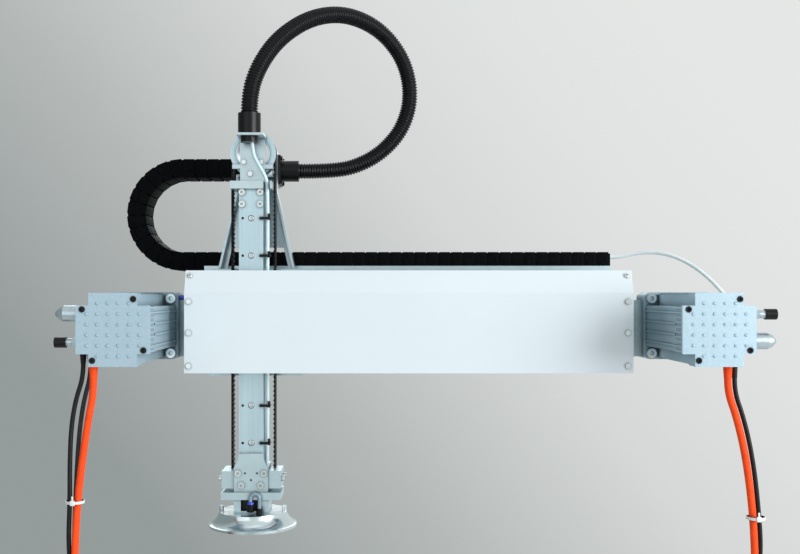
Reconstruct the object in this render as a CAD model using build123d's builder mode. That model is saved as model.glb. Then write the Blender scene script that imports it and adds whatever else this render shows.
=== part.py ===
from build123d import *
import math
import os

# Two-axis T-gantry handling unit with one toothed belt, two fixed motors and a round air gripper.
# Millimetres. X runs along the beam, Y points to the wall behind it, Z is up.
# The origin is on the rear mounting face of the beam, level with the motor shafts.

# Driving dimensions of the fixed beam
BEAM_LEFT, BEAM_RIGHT = -235.0, 227.0
BEAM_DEPTH = 60.0
BEAM_HALF = 46.0
MOTOR_X = 286.8
MOUNT_X, MOUNT_Z = 200.0, 35.0

# Linear guides: size 15, low block, 40 mm hole pitch
RAIL_WIDTH, RAIL_HEIGHT = 15.0, 9.5
GUIDE_HEIGHT = 16.0
BLOCK_WIDTH, BLOCK_LENGTH = 32.0, 43.0
RAIL_PITCH = 40.0
RAIL_Z = 30.0

# Layers from the wall towards the viewer (Y)
BEAM_FRONT = -BEAM_DEPTH
PLATE_REAR = BEAM_FRONT - GUIDE_HEIGHT
PLATE_FRONT = PLATE_REAR - 10.0
UPRIGHT_REAR = PLATE_FRONT - GUIDE_HEIGHT
UPRIGHT_FRONT = -126.0
MOTOR_FACE = -110.0
MOTOR_BACK = -255.0
COVER_FRONT = -168.0

# The upright (lifting) axis
AXIS_X = -171.0
UPRIGHT_HALF = 13.0
UPRIGHT_TOP, UPRIGHT_FOOT = 146.3, -150.0
PULLEY_Z = 186.4
AXIS_Y = -109.0

# Belt: 15 wide, 2.4 thick, one loop open at the foot
BELT_FRONT, BELT_REAR = -106.0, -91.0
BELT_THICK = 2.4
BELT_MID_Y = (BELT_FRONT + BELT_REAR) / 2
BELT_WIDTH = BELT_REAR - BELT_FRONT
DRIVE_R = 19.0
IDLER_R = 12.0
TOP_R = 21.6
IDLER_DX = TOP_R + BELT_THICK + IDLER_R
IDLER_Z = DRIVE_R + BELT_THICK + IDLER_R
RUN_GAP = 0.3
CLAMP_TOP = -155.0

# Foot and gripper
FOOT_FRONT, FOOT_HALF = -128.0, 18.0
FOOT_Z = (-177.3, -150.0)
DISH_TOP = -200.0

# Energy chain
LINKS_IN_BEND = 12
CHAIN_R = 53.3
LINK = math.pi * CHAIN_R / LINKS_IN_BEND
CHAIN_HEIGHT = 21.5
CHAIN_FRONT, CHAIN_REAR = -43.0, -1.0
BEND_X, BEND_Z = -259.0, 124.9
MOVING_LINKS, FIXED_LINKS, UPPER_LINKS = 13, 22, 5
LINK_GAP = 0.5
LINK_WALL = 3.0
COMB_X = 231.5

# Motors
FLANGE, FLANGE_THICK = 72.0, 8.0
MOTOR_SIZE, NOTCH = 70.0, 12.0
BOLT = 29.3
TAIL_FRONT = -230.0
REAR_PLATE = 4.0

# Cords: outer diameters
CONDUIT_D = 18.5
POWER_D, SIGNAL_D, SENSOR_D = 7.0, 4.5, 4.5
AIR_D = 4.0

os.makedirs("parts", exist_ok=True)


def save(piece, label):
    piece.part.label = label
    export_step(piece.part, f"parts/{label}.step")


def block(x, y, z, mode=Mode.ADD):
    """A box from its lower and upper limits."""
    with Locations(((x[0] + x[1]) / 2, (y[0] + y[1]) / 2, (z[0] + z[1]) / 2)):
        Box(x[1] - x[0], y[1] - y[0], z[1] - z[0], mode=mode)


def facing(y):
    """A plane at this depth that faces the viewer, with Z up."""
    return Plane.XZ.offset(-y)


def rod(x, z, r, y0, y1, mode=Mode.ADD):
    """A round bar along Y from y0 (nearer the viewer) to y1."""
    with Locations((x, (y0 + y1) / 2, z)):
        Cylinder(r, y1 - y0, rotation=(90, 0, 0), mode=mode)


def upright_rod(x, y, r, z0, z1, mode=Mode.ADD):
    with Locations((x, y, (z0 + z1) / 2)):
        Cylinder(r, z1 - z0, mode=mode)


def cross_rod(y, z, r, x0, x1, mode=Mode.ADD):
    with Locations(((x0 + x1) / 2, y, z)):
        Cylinder(r, x1 - x0, rotation=(0, 90, 0), mode=mode)


def rail_holes(start, end):
    """Hole centres at the rail's pitch, centred between its ends."""
    count = int((end - start - 16) // RAIL_PITCH) + 1
    first = (start + end - (count - 1) * RAIL_PITCH) / 2
    return [first + i * RAIL_PITCH for i in range(count)]


# ---------------------------------------------------------------- fixed beam

def make_beam():
    slot_mouth, slot_width, slot_lip, slot_depth = 8.2, 16.0, 3.5, 10.0
    with BuildPart() as beam:
        block((BEAM_LEFT, BEAM_RIGHT), (BEAM_FRONT, 0), (-BEAM_HALF, BEAM_HALF))
        for low, high in ((-12, 12), (16, 32), (-32, -16)):
            block((BEAM_LEFT, BEAM_RIGHT), (-55, -14), (low, high), Mode.SUBTRACT)
        for z in (-15, 15):
            block((BEAM_LEFT, BEAM_RIGHT), (-slot_lip, 0),
                  (z - slot_mouth / 2, z + slot_mouth / 2), Mode.SUBTRACT)
            block((BEAM_LEFT, BEAM_RIGHT), (-slot_depth, -slot_lip),
                  (z - slot_width / 2, z + slot_width / 2), Mode.SUBTRACT)
        for side in (-1, 1):
            outer, lip = side * BEAM_HALF, side * (BEAM_HALF - slot_lip)
            deep = side * (BEAM_HALF - slot_depth)
            block((BEAM_LEFT, BEAM_RIGHT), (-30 - slot_mouth / 2, -30 + slot_mouth / 2),
                  sorted((lip, outer)), Mode.SUBTRACT)
            block((BEAM_LEFT, BEAM_RIGHT), (-30 - slot_width / 2, -30 + slot_width / 2),
                  sorted((deep, lip)), Mode.SUBTRACT)
        for x in (-MOUNT_X, MOUNT_X):
            for z in (-MOUNT_Z, MOUNT_Z):
                rod(x, z, 3.4, -13, 0, Mode.SUBTRACT)
    save(beam, "y_beam")


def make_beam_rails():
    start, end = BEAM_LEFT + 7, BEAM_RIGHT - 7
    with BuildPart() as rails:
        for z in (-RAIL_Z, RAIL_Z):
            block((start, end), (BEAM_FRONT - RAIL_HEIGHT, BEAM_FRONT),
                  (z - RAIL_WIDTH / 2, z + RAIL_WIDTH / 2))
        for z in (-RAIL_Z, RAIL_Z):
            for x in rail_holes(start, end):
                rod(x, z, 3.0, BEAM_FRONT - RAIL_HEIGHT, BEAM_FRONT - 5, Mode.SUBTRACT)
                rod(x, z, 1.75, BEAM_FRONT - 5, BEAM_FRONT, Mode.SUBTRACT)
    save(rails, "y_rails")


def make_drive_head(side, label):
    """Casting at one end: motor plate, belt chamber, shaft bearing bore and end plate."""
    inner = BEAM_RIGHT if side > 0 else -BEAM_LEFT

    def across(a, b):
        return sorted((side * a, side * b))

    with BuildPart() as head:
        block(across(inner, MOTOR_X + 36), (MOTOR_FACE, -78), (-33.5, 27.6))
        with BuildSketch(facing(-84)):
            with Locations((side * MOTOR_X, 0)):
                RectangleRounded(FLANGE, FLANGE, 6)
        extrude(amount=-84 - MOTOR_FACE)
        block(across(inner, inner + 8), (MOTOR_FACE, 0), (-BEAM_HALF, BEAM_HALF))
        with BuildSketch(Plane.XY.offset(-20)):
            with BuildLine():
                Polyline((side * (inner + 7), -79), (side * (inner + 45), -79),
                         (side * (inner + 7), -8), close=True)
            make_face()
        extrude(amount=40)
        block(across(inner - 1, MOTOR_X), (-107.5, -88), (-24, 24), Mode.SUBTRACT)
        rod(side * MOTOR_X, 0, 24, -107.5, -88, Mode.SUBTRACT)
        rod(side * MOTOR_X, 0, 20, MOTOR_FACE, -107, Mode.SUBTRACT)
        rod(side * MOTOR_X, 0, 5.05, -89, -78, Mode.SUBTRACT)
        for dx in (-BOLT, BOLT):
            for dz in (-BOLT, BOLT):
                rod(side * MOTOR_X + dx, dz, 2.5, MOTOR_FACE, MOTOR_FACE + 18, Mode.SUBTRACT)
        if side < 0:
            cross_rod(-106, 29.7, 2.1, -244, BEAM_LEFT, Mode.SUBTRACT)
            cross_rod(-106, 29.7, 3.4, -250.8, -243, Mode.SUBTRACT)
    save(head, label)


# ---------------------------------------------------------------- front cover

SHEET = 1.5
FOLD_Z, COVER_TOP, COVER_FOOT = 35.4, 58.5, -47.5
COVER_LEAN = 9.5
COVER_SCREWS_Z = (26.3, -6.0, -40.0)
COVER_SCREW_X = (-230.4, 221.2)


def make_cover():
    """Front sheet: flat face, leaning top strip and a short hem at both edges."""
    with BuildPart() as cover:
        with BuildSketch(Plane.YZ.offset(BEAM_LEFT)):
            with BuildLine():
                Polyline(
                    (COVER_FRONT + 16, COVER_FOOT),
                    (COVER_FRONT, COVER_FOOT),
                    (COVER_FRONT, FOLD_Z),
                    (COVER_FRONT + COVER_LEAN, COVER_TOP),
                    (COVER_FRONT + COVER_LEAN + 14, COVER_TOP),
                    (COVER_FRONT + COVER_LEAN + 14, COVER_TOP - SHEET),
                    (COVER_FRONT + COVER_LEAN + 1.1, COVER_TOP - SHEET),
                    (COVER_FRONT + SHEET, FOLD_Z - 0.3),
                    (COVER_FRONT + SHEET, COVER_FOOT + SHEET),
                    (COVER_FRONT + 16, COVER_FOOT + SHEET),
                    close=True,
                )
            make_face()
        extrude(amount=BEAM_RIGHT - BEAM_LEFT)
        for x in COVER_SCREW_X:
            for z in COVER_SCREWS_Z:
                rod(x, z, 1.7, COVER_FRONT - 1, COVER_FRONT + 2, Mode.SUBTRACT)
    save(cover, "cover_front")


def make_end_plates():
    """Side walls of the cover, with a window for the two belt runs."""
    with BuildPart() as plates:
        for x0 in (BEAM_LEFT + 0.2, BEAM_RIGHT - 6.2):
            with BuildSketch(Plane.YZ.offset(x0)):
                with BuildLine():
                    Polyline(
                        (COVER_FRONT + SHEET + 0.1, COVER_FOOT + SHEET + 0.1),
                        (COVER_FRONT + SHEET + 0.1, FOLD_Z - 0.6),
                        (COVER_FRONT + COVER_LEAN + 1.2, COVER_TOP - SHEET - 0.1),
                        (-75, COVER_TOP - SHEET - 0.1),
                        (BEAM_FRONT, BEAM_HALF),
                        (BEAM_FRONT, COVER_FOOT + SHEET + 0.1),
                        close=True,
                    )
                make_face()
            extrude(amount=6)
        for x0 in (BEAM_LEFT, BEAM_RIGHT - 8):
            block((x0, x0 + 8), (-109, -88), (-26, 26), Mode.SUBTRACT)
        cross_rod(-106, 29.7, 2.1, BEAM_LEFT - 1, BEAM_LEFT + 8, Mode.SUBTRACT)
    save(plates, "cover_end_plates")


def socket_head(x, z, y, head_r, head_h, shank_r, shank_l):
    """A socket head screw along Y whose head stands on the face at y."""
    rod(x, z, head_r, y - head_h, y)
    rod(x, z, shank_r, y, y + shank_l)
    with BuildSketch(facing(y - head_h)) as socket:
        with Locations((x, z)):
            RegularPolygon(head_r * 0.52, 6)
    extrude(socket.sketch, amount=-head_h * 0.55, mode=Mode.SUBTRACT)


def make_frame_screws():
    """Motor flange screws and the button screws that hold the cover."""
    with BuildPart() as screws:
        for side in (-1, 1):
            for dx in (-BOLT, BOLT):
                for dz in (-BOLT, BOLT):
                    socket_head(side * MOTOR_X + dx, dz, MOTOR_FACE - FLANGE_THICK, 5.0, 6.0, 2.45, 20)
        for x in COVER_SCREW_X:
            for z in COVER_SCREWS_Z:
                rod(x, z, 2.7, COVER_FRONT - 1.6, COVER_FRONT)
                rod(x, z, 1.4, COVER_FRONT, COVER_FRONT + 1.5)
    save(screws, "frame_screws")


# ---------------------------------------------------------------- motors

def plus_outline(x, z, size):
    """Square outline with a square notch at each corner."""
    half, arm = size / 2, size / 2 - NOTCH
    with Locations((x, z)):
        Rectangle(2 * half, 2 * arm)
        Rectangle(2 * arm, 2 * half)


def ribs(x, z, size, places, width, height):
    """Thin ribs on all four sides of the plus-shaped section."""
    reach = size / 2 - height / 2
    for p in places:
        with Locations((x - reach, z + p), (x + reach, z + p)):
            Rectangle(height, width)
        with Locations((x + p, z - reach), (x + p, z + reach)):
            Rectangle(width, height)


def make_motor_flanges():
    with BuildPart() as flanges:
        for side in (-1, 1):
            with BuildSketch(facing(MOTOR_FACE)):
                with Locations((side * MOTOR_X, 0)):
                    RectangleRounded(FLANGE, FLANGE, 6)
            extrude(amount=FLANGE_THICK)
            rod(side * MOTOR_X, 0, 19.9, MOTOR_FACE - 1, MOTOR_FACE + 2.4)
        for side in (-1, 1):
            rod(side * MOTOR_X, 0, 8, MOTOR_FACE - 10, MOTOR_FACE + 3, Mode.SUBTRACT)
            for dx in (-BOLT, BOLT):
                for dz in (-BOLT, BOLT):
                    rod(side * MOTOR_X + dx, dz, 3.3, MOTOR_FACE - 9, MOTOR_FACE + 1, Mode.SUBTRACT)
    save(flanges, "motor_flanges")


def make_motor_body(side, label):
    """Ribbed stator housing with corner channels, and the finer-ribbed tail behind it."""
    x, front = side * MOTOR_X, MOTOR_FACE - FLANGE_THICK
    body_ribs = (-16.0, -5.3, 5.3, 16.0)
    tail_ribs = [-20.7 + 4.6 * i for i in range(10)]
    with BuildPart() as body:
        with BuildSketch(facing(front)):
            plus_outline(x, 0, MOTOR_SIZE - 2.8)
            ribs(x, 0, MOTOR_SIZE - 0.4, body_ribs, 1.8, 2.0)
        extrude(amount=front - TAIL_FRONT)
        rod(x, 0, 8, front - 12, front, Mode.SUBTRACT)
    with BuildPart() as tail:
        with BuildSketch(facing(TAIL_FRONT)):
            plus_outline(x, 0, MOTOR_SIZE - 2.0)
            ribs(x, 0, MOTOR_SIZE, tail_ribs, 1.7, 1.6)
        extrude(amount=TAIL_FRONT - MOTOR_BACK - REAR_PLATE)
    whole = Compound(label=label, children=[body.part.solid(), tail.part.solid()])
    export_step(whole, f"parts/{label}.step")


def cover_screw_places(side):
    radius, first = 35.0, 56.3
    return [(side * MOTOR_X + radius * math.cos(math.radians(first + 90 * i)),
             radius * math.sin(math.radians(first + 90 * i))) for i in range(4)]


def make_motor_rear_covers():
    """Rear plates with a 10 mm grid of small bumps."""
    rows = {-25: 2, -15: 3, -5: 3, 5: 3, 15: 3, 25: 2}
    with BuildPart() as covers:
        for side in (-1, 1):
            with BuildSketch(facing(MOTOR_BACK + REAR_PLATE)):
                plus_outline(side * MOTOR_X, 0, MOTOR_SIZE)
            extrude(amount=REAR_PLATE)
            with BuildSketch(facing(MOTOR_BACK)):
                for z, pairs in rows.items():
                    for i in range(pairs):
                        with Locations((side * MOTOR_X - 5 - 10 * i, z), (side * MOTOR_X + 5 + 10 * i, z)):
                            Circle(1.5)
            extrude(amount=0.8, taper=40)
        for side in (-1, 1):
            for x, z in cover_screw_places(side):
                rod(x, z, 3.0, MOTOR_BACK - 1, MOTOR_BACK + 2.0, Mode.SUBTRACT)
    save(covers, "motor_rear_covers")


def make_rear_cover_screws():
    with BuildPart() as screws:
        for side in (-1, 1):
            for x, z in cover_screw_places(side):
                rod(x, z, 2.75, MOTOR_BACK - 0.8, MOTOR_BACK + 2.0)
                with BuildSketch(facing(MOTOR_BACK - 0.8)):
                    with Locations((x, z)):
                        RegularPolygon(1.5, 6)
                extrude(amount=-1.8, mode=Mode.SUBTRACT)
    save(screws, "rear_cover_screws")


PORT_Y = -243.0
PLUG_Z, SOCKET_Z = 15.0, 12.3
SIDE_X = MOTOR_X + MOTOR_SIZE / 2


def make_port_fittings():
    """On each motor's outer side: a domed blind plug and a nickel socket. The right motor is turned half a turn."""
    with BuildPart() as fittings:
        for side in (-1, 1):
            def at(distance):
                return side * (SIDE_X + distance)

            plug_z, socket_z = -side * PLUG_Z * (0.73 if side > 0 else 1), side * (14.6 if side > 0 else SOCKET_Z)
            with BuildSketch(Plane((0, PORT_Y, plug_z), x_dir=(1, 0, 0), z_dir=(0, -1, 0))):
                with BuildLine():
                    Polyline((at(0), 0), (at(0), 8.0), (at(14), 8.0), (at(19), 5.6), (at(22.4), 2.0),
                             (at(22.6), 0), close=True)
                make_face()
            revolve(axis=Axis((0, PORT_Y, plug_z), (1, 0, 0)))
            with BuildSketch(Plane.YZ.offset(min(at(0), at(6)))):
                with Locations((PORT_Y, socket_z)):
                    RegularPolygon(4.9, 6)
            extrude(amount=6)
            cross_rod(PORT_Y, socket_z, 3.9, min(at(5.5), at(16)), max(at(5.5), at(16)))
    save(fittings, "port_fittings")


def make_service_caps():
    """Black screw caps over the nickel sockets."""
    with BuildPart() as caps:
        for side in (-1, 1):
            socket_z = side * (14.6 if side > 0 else SOCKET_Z)
            ends = sorted((side * (SIDE_X + 12), side * (SIDE_X + 23)))
            cross_rod(PORT_Y, socket_z, 5.2, *ends)
            hollow = sorted((side * (SIDE_X + 11), side * (SIDE_X + 16.1)))
            cross_rod(PORT_Y, socket_z, 4.0, *hollow, Mode.SUBTRACT)
    save(caps, "service_caps")


# ---------------------------------------------------------------- belt, pulleys and idlers

def belt_arc(x, z, inner, start, turn):
    """A stretch of belt bent round (x, z) from the angle start through turn degrees."""
    with BuildSketch(facing(BELT_REAR)) as strip:
        with BuildLine():
            low = CenterArc((x, z), inner, start, turn)
            high = CenterArc((x, z), inner + BELT_THICK, start, turn)
            Line(low @ 0, high @ 0)
            Line(low @ 1, high @ 1)
        make_face()
    extrude(strip.sketch, amount=BELT_WIDTH)


def make_drive_wraps():
    with BuildPart() as wraps:
        belt_arc(-MOTOR_X, 0, DRIVE_R, 90, 180)
        belt_arc(MOTOR_X, 0, DRIVE_R, -90, 180)
    save(wraps, "belt_drive_wraps")


def make_idler_wraps():
    with BuildPart() as wraps:
        belt_arc(AXIS_X - IDLER_DX, IDLER_Z, IDLER_R, -90, 90)
        belt_arc(AXIS_X + IDLER_DX, IDLER_Z, IDLER_R, 180, 90)
        belt_arc(AXIS_X - IDLER_DX, -IDLER_Z, IDLER_R, 0, 90)
        belt_arc(AXIS_X + IDLER_DX, -IDLER_Z, IDLER_R, 90, 90)
    save(wraps, "belt_idler_wraps")


def make_top_wrap():
    with BuildPart() as wrap:
        belt_arc(AXIS_X, PULLEY_Z, TOP_R, 0, 180)
    save(wrap, "belt_top_wrap")


def make_level_runs():
    """Four straight runs between the drive pulleys and the carriage's idlers."""
    with BuildPart() as runs:
        for low in (DRIVE_R, -DRIVE_R - BELT_THICK):
            block((-MOTOR_X, AXIS_X - IDLER_DX), (BELT_FRONT, BELT_REAR), (low, low + BELT_THICK))
            block((AXIS_X + IDLER_DX, MOTOR_X), (BELT_FRONT, BELT_REAR), (low, low + BELT_THICK))
    save(runs, "belt_level_runs")


def make_upright_runs():
    """Straight runs from the idlers up to the top pulley and down to the clamps."""
    with BuildPart() as runs:
        for x0 in (AXIS_X - TOP_R - BELT_THICK, AXIS_X + TOP_R):
            block((x0, x0 + BELT_THICK), (BELT_FRONT, BELT_REAR), (IDLER_Z, PULLEY_Z))
            block((x0, x0 + BELT_THICK), (BELT_FRONT, BELT_REAR), (CLAMP_TOP, -IDLER_Z))
    save(runs, "belt_upright_runs")


def make_drive_pulley(side, label):
    """Toothed pulley keyed on the motor shaft."""
    teeth, root, x = 24, DRIVE_R - 2.2, side * MOTOR_X
    with BuildPart() as pulley:
        rod(x, 0, DRIVE_R - RUN_GAP, -107.0, -90.0)
        with BuildSketch(facing(-90)):
            for i in range(teeth):
                turn = 2 * math.pi * i / teeth
                with Locations((x + (root + 2) * math.cos(turn), (root + 2) * math.sin(turn))):
                    Circle(1.3)
        extrude(amount=17, mode=Mode.SUBTRACT)
        rod(x, 0, 5, -108, -89, Mode.SUBTRACT)
    with BuildPart() as shaft:
        rod(x, 0, 5, -125, -79)
    whole = Compound(label=label, children=[pulley.part.solid(), shaft.part.solid()])
    export_step(whole, f"parts/{label}.step")


def make_idler(dx, dz, label):
    """Smooth idler roller with a bore for its axle."""
    x, z = AXIS_X + dx, dz
    with BuildPart() as idler:
        rod(x, z, IDLER_R - RUN_GAP, -107.2, -89.8)
        rod(x, z, 4.05, -108, -89, Mode.SUBTRACT)
    save(idler, label)


def make_idler_axles():
    """Axle bolts with a washer face in front of each roller and a spacer behind it."""
    with BuildPart() as axles:
        for dx in (-IDLER_DX, IDLER_DX):
            for dz in (-IDLER_Z, IDLER_Z):
                x = AXIS_X + dx
                rod(x, dz, 4, -110, PLATE_FRONT + 6)
                rod(x, dz, 6.5, -111, -107.6)
                rod(x, dz, 6.0, -89.4, PLATE_FRONT)
    save(axles, "idler_axles")


# ---------------------------------------------------------------- carriage

PLATE_HALF = 55.0


def make_carriage_plate():
    with BuildPart() as plate:
        with BuildSketch(facing(PLATE_REAR)):
            with Locations((AXIS_X, 3)):
                RectangleRounded(2 * PLATE_HALF, 118, 6)
        extrude(amount=PLATE_REAR - PLATE_FRONT)
        for dx in (-IDLER_DX, IDLER_DX):
            for dz in (-IDLER_Z, IDLER_Z):
                rod(AXIS_X + dx, dz, 4, PLATE_FRONT - 1, PLATE_FRONT + 6, Mode.SUBTRACT)
    save(plate, "carriage_plate")


def make_guide_blocks():
    """Four blocks on the beam's rails and two on the upright's rail."""
    slot_half, cap = RAIL_WIDTH / 2 + 0.3, 0.3
    with BuildPart() as blocks:
        for dx in (-27, 27):
            for z in (-RAIL_Z, RAIL_Z):
                x = AXIS_X + dx
                block((x - BLOCK_LENGTH / 2, x + BLOCK_LENGTH / 2), (PLATE_REAR, BEAM_FRONT - 4),
                      (z - BLOCK_WIDTH / 2, z + BLOCK_WIDTH / 2))
        for z in (-23, 23):
            block((AXIS_X - BLOCK_WIDTH / 2, AXIS_X + BLOCK_WIDTH / 2), (UPRIGHT_REAR + 4, PLATE_FRONT),
                  (z - BLOCK_LENGTH / 2, z + BLOCK_LENGTH / 2))
        for z in (-RAIL_Z, RAIL_Z):
            block((AXIS_X - 60, AXIS_X + 60), (BEAM_FRONT - RAIL_HEIGHT - cap, BEAM_FRONT),
                  (z - slot_half, z + slot_half), Mode.SUBTRACT)
        block((AXIS_X - slot_half, AXIS_X + slot_half), (UPRIGHT_REAR, UPRIGHT_REAR + RAIL_HEIGHT + cap),
              (-60, 60), Mode.SUBTRACT)
    save(blocks, "guide_blocks")


BRACKET_T = 2.5
SHELF_Z = BEND_Z + CHAIN_R - CHAIN_HEIGHT / 2 - 0.1
SIDE_PLATE_X = AXIS_X + 18.0
CONDUIT_LOW_Y, CONDUIT_LOW_Z = -22.0, 177.5


def make_chain_bracket():
    """Folded A-shaped bracket with a shelf for the chain's end, and the side plate for the conduit."""
    web_front = -61.5
    with BuildPart() as bracket:
        with BuildSketch(facing(web_front + BRACKET_T)):
            with BuildLine():
                Polyline(
                    (AXIS_X - 45.5, 50), (AXIS_X - 22.5, 150), (AXIS_X - 22.5, SHELF_Z),
                    (AXIS_X + 22.5, SHELF_Z), (AXIS_X + 22.5, 150), (AXIS_X + 45.5, 50),
                    (AXIS_X + 37.5, 50), (AXIS_X + 29.2, 86.5), (AXIS_X - 29.2, 86.5),
                    (AXIS_X - 37.5, 50), close=True,
                )
            make_face()
        extrude(amount=BRACKET_T)
        for side in (-1, 1):
            with BuildSketch(facing(web_front)):
                with BuildLine():
                    Polyline(
                        (AXIS_X + side * 45.5, 50), (AXIS_X + side * 22.5, 150),
                        (AXIS_X + side * 22.5, SHELF_Z), (AXIS_X + side * 20.0, SHELF_Z),
                        (AXIS_X + side * 20.0, 149.7), (AXIS_X + side * 43.0, 50), close=True,
                    )
                make_face()
            extrude(amount=web_front - PLATE_REAR)
            block(sorted((AXIS_X + side * 28, AXIS_X + side * 44)), (PLATE_REAR, PLATE_REAR + BRACKET_T),
                  (50, 62))
        block((AXIS_X - 22.5, SIDE_PLATE_X), (PLATE_REAR, CHAIN_REAR), (SHELF_Z - BRACKET_T, SHELF_Z))
    with BuildPart() as side_plate:
        block((SIDE_PLATE_X, SIDE_PLATE_X + BRACKET_T), (-70, -2), (159, 197))
        cross_rod(CONDUIT_LOW_Y, CONDUIT_LOW_Z, 9.0, SIDE_PLATE_X - 1, SIDE_PLATE_X + 4, Mode.SUBTRACT)
    whole = Compound(label="chain_bracket", children=[bracket.part.solid(), side_plate.part.solid()])
    export_step(whole, "parts/chain_bracket.step")


def make_conduit_fitting_lower():
    """Conduit connector on the carriage's side plate, with its flange and lock nut."""
    face = SIDE_PLATE_X + BRACKET_T
    y, z = CONDUIT_LOW_Y, CONDUIT_LOW_Z
    with BuildPart() as fitting:
        block((face, face + 3), (y - 16, y + 16), (z - 17, z + 17))
        cross_rod(y, z, 12.3, face + 3, face + 23)
        cross_rod(y, z, 8.9, face - 6, face)
        cross_rod(y, z, 10.0, face - 7, face - BRACKET_T)
        cross_rod(y, z, 6.5, face - 7, face + 30, Mode.SUBTRACT)
        for dy in (-12.5, 12.5):
            for dz in (-13.5, 13.5):
                cross_rod(y + dy, z + dz, 2.4, face + 3, face + 5)
    save(fitting, "conduit_fitting_lower")


# ---------------------------------------------------------------- energy chain

def link_section(near, far):
    """Hollow cross-section of one link, in a plane whose x runs along Y."""
    mid = (CHAIN_FRONT + CHAIN_REAR) / 2
    width = CHAIN_REAR - CHAIN_FRONT
    with Locations((mid, (near + far) / 2)):
        Rectangle(width, far - near)
        Rectangle(width - 2 * LINK_WALL - 2, far - near - 2 * LINK_WALL, mode=Mode.SUBTRACT)


def straight_links(first_x, centre_z, count, label):
    """A level row of links; the row on the tray ends in a comb plate with two pins."""
    last_x = first_x + count * LINK - LINK_GAP / 2
    with BuildPart() as links:
        if count == FIXED_LINKS:
            block((last_x, COMB_X), (CHAIN_FRONT + 2, CHAIN_REAR - 2), (centre_z - 5, centre_z + 9))
            for x in (last_x - 9, last_x - 3):
                rod(x, centre_z - 6, 1.2, CHAIN_FRONT - 1.2, CHAIN_FRONT)
        for i in range(count):
            with BuildSketch(Plane.YZ.offset(first_x + i * LINK + LINK_GAP / 2)):
                link_section(centre_z - CHAIN_HEIGHT / 2, centre_z + CHAIN_HEIGHT / 2)
            extrude(amount=LINK - LINK_GAP)
    save(links, label)


def make_chain_bend():
    step = 180 / LINKS_IN_BEND
    gap = math.degrees(LINK_GAP / CHAIN_R)
    with BuildPart() as bend:
        for i in range(LINKS_IN_BEND):
            angle = math.radians(90 + i * step + gap / 2)
            outward = (math.cos(angle), 0, math.sin(angle))
            along = (-math.sin(angle), 0, math.cos(angle))
            section = Plane(origin=(BEND_X, 0, BEND_Z), x_dir=(0, 1, 0),
                            z_dir=tuple(-c for c in along))
            up = section.y_dir.dot(Vector(*outward))
            with BuildSketch(section):
                ends = sorted((up * (CHAIN_R - CHAIN_HEIGHT / 2), up * (CHAIN_R + CHAIN_HEIGHT / 2)))
                link_section(*ends)
            revolve(axis=Axis((BEND_X, 0, BEND_Z), (0, -1, 0)), revolution_arc=step - gap)
    save(bend, "chain_bend")


def make_chain():
    low, high = BEND_Z - CHAIN_R, BEND_Z + CHAIN_R
    straight_links(BEND_X, low, MOVING_LINKS, "chain_lower_moving")
    straight_links(BEND_X + MOVING_LINKS * LINK, low, FIXED_LINKS, "chain_lower_fixed")
    straight_links(BEND_X, high, UPPER_LINKS, "chain_upper_run")
    make_chain_bend()


def make_chain_tray():
    """Folded tray under the lower run, on three spacer feet."""
    floor_z = 60.0
    with BuildPart() as tray:
        block((BEAM_LEFT + 1, 230), (-46, -0.5), (floor_z - SHEET, floor_z))
        block((BEAM_LEFT + 1, 230), (-46, -44.5), (floor_z - SHEET, 66.3))
        block((230, 232), (-46, -0.5), (floor_z - SHEET, 64))
        for x in (-200, 0, 200):
            block((x - 10, x + 10), (-42, -12), (BEAM_HALF, floor_z - SHEET))
    save(tray, "chain_tray")


# ---------------------------------------------------------------- upright axis

HOLE_ROWS = [115 - RAIL_PITCH * i for i in range(7)]


def make_upright_beam():
    with BuildPart() as beam:
        block((AXIS_X - UPRIGHT_HALF, AXIS_X + UPRIGHT_HALF), (UPRIGHT_FRONT, UPRIGHT_REAR),
              (UPRIGHT_FOOT, UPRIGHT_TOP))
        for side in (-1, 1):
            edge, deep = AXIS_X + side * UPRIGHT_HALF, AXIS_X + side * (UPRIGHT_HALF - 3)
            block(sorted((edge, deep)), (-118, -110), (UPRIGHT_FOOT, UPRIGHT_TOP), Mode.SUBTRACT)
        block((AXIS_X - 7, AXIS_X + 7), (-121, -107), (UPRIGHT_FOOT, UPRIGHT_TOP), Mode.SUBTRACT)
        for dx in (-9.8, 9.8):
            for z in (142.7, 130.0):
                rod(AXIS_X + dx, z, 1.5, UPRIGHT_FRONT, UPRIGHT_FRONT + 4, Mode.SUBTRACT)
        for z in HOLE_ROWS:
            rod(AXIS_X, z, 3.4, UPRIGHT_FRONT, UPRIGHT_FRONT + 1.2, Mode.SUBTRACT)
            rod(AXIS_X, z, 2.6, UPRIGHT_FRONT, UPRIGHT_FRONT + 5, Mode.SUBTRACT)
            rod(AXIS_X - 9, z, 1.4, UPRIGHT_FRONT, UPRIGHT_FRONT + 4, Mode.SUBTRACT)
    save(beam, "z_beam")


def make_upright_rail():
    start, end = -148.0, 144.0
    with BuildPart() as rail:
        block((AXIS_X - RAIL_WIDTH / 2, AXIS_X + RAIL_WIDTH / 2), (UPRIGHT_REAR, UPRIGHT_REAR + RAIL_HEIGHT),
              (start, end))
        for z in rail_holes(start, end):
            rod(AXIS_X, z, 3.0, UPRIGHT_REAR + 5, UPRIGHT_REAR + RAIL_HEIGHT, Mode.SUBTRACT)
            rod(AXIS_X, z, 1.75, UPRIGHT_REAR, UPRIGHT_REAR + 6, Mode.SUBTRACT)
    save(rail, "z_rail")


TOP_PLATE = (146.3, 154.6)
BRACKET_Y = (-113.0, -110.0)
FLANGE_Z = (202.0, 204.5)
CONDUIT_TOP_X, CONDUIT_TOP_Y = -173.0, -125.0
BEARING_R = 18.5


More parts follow.
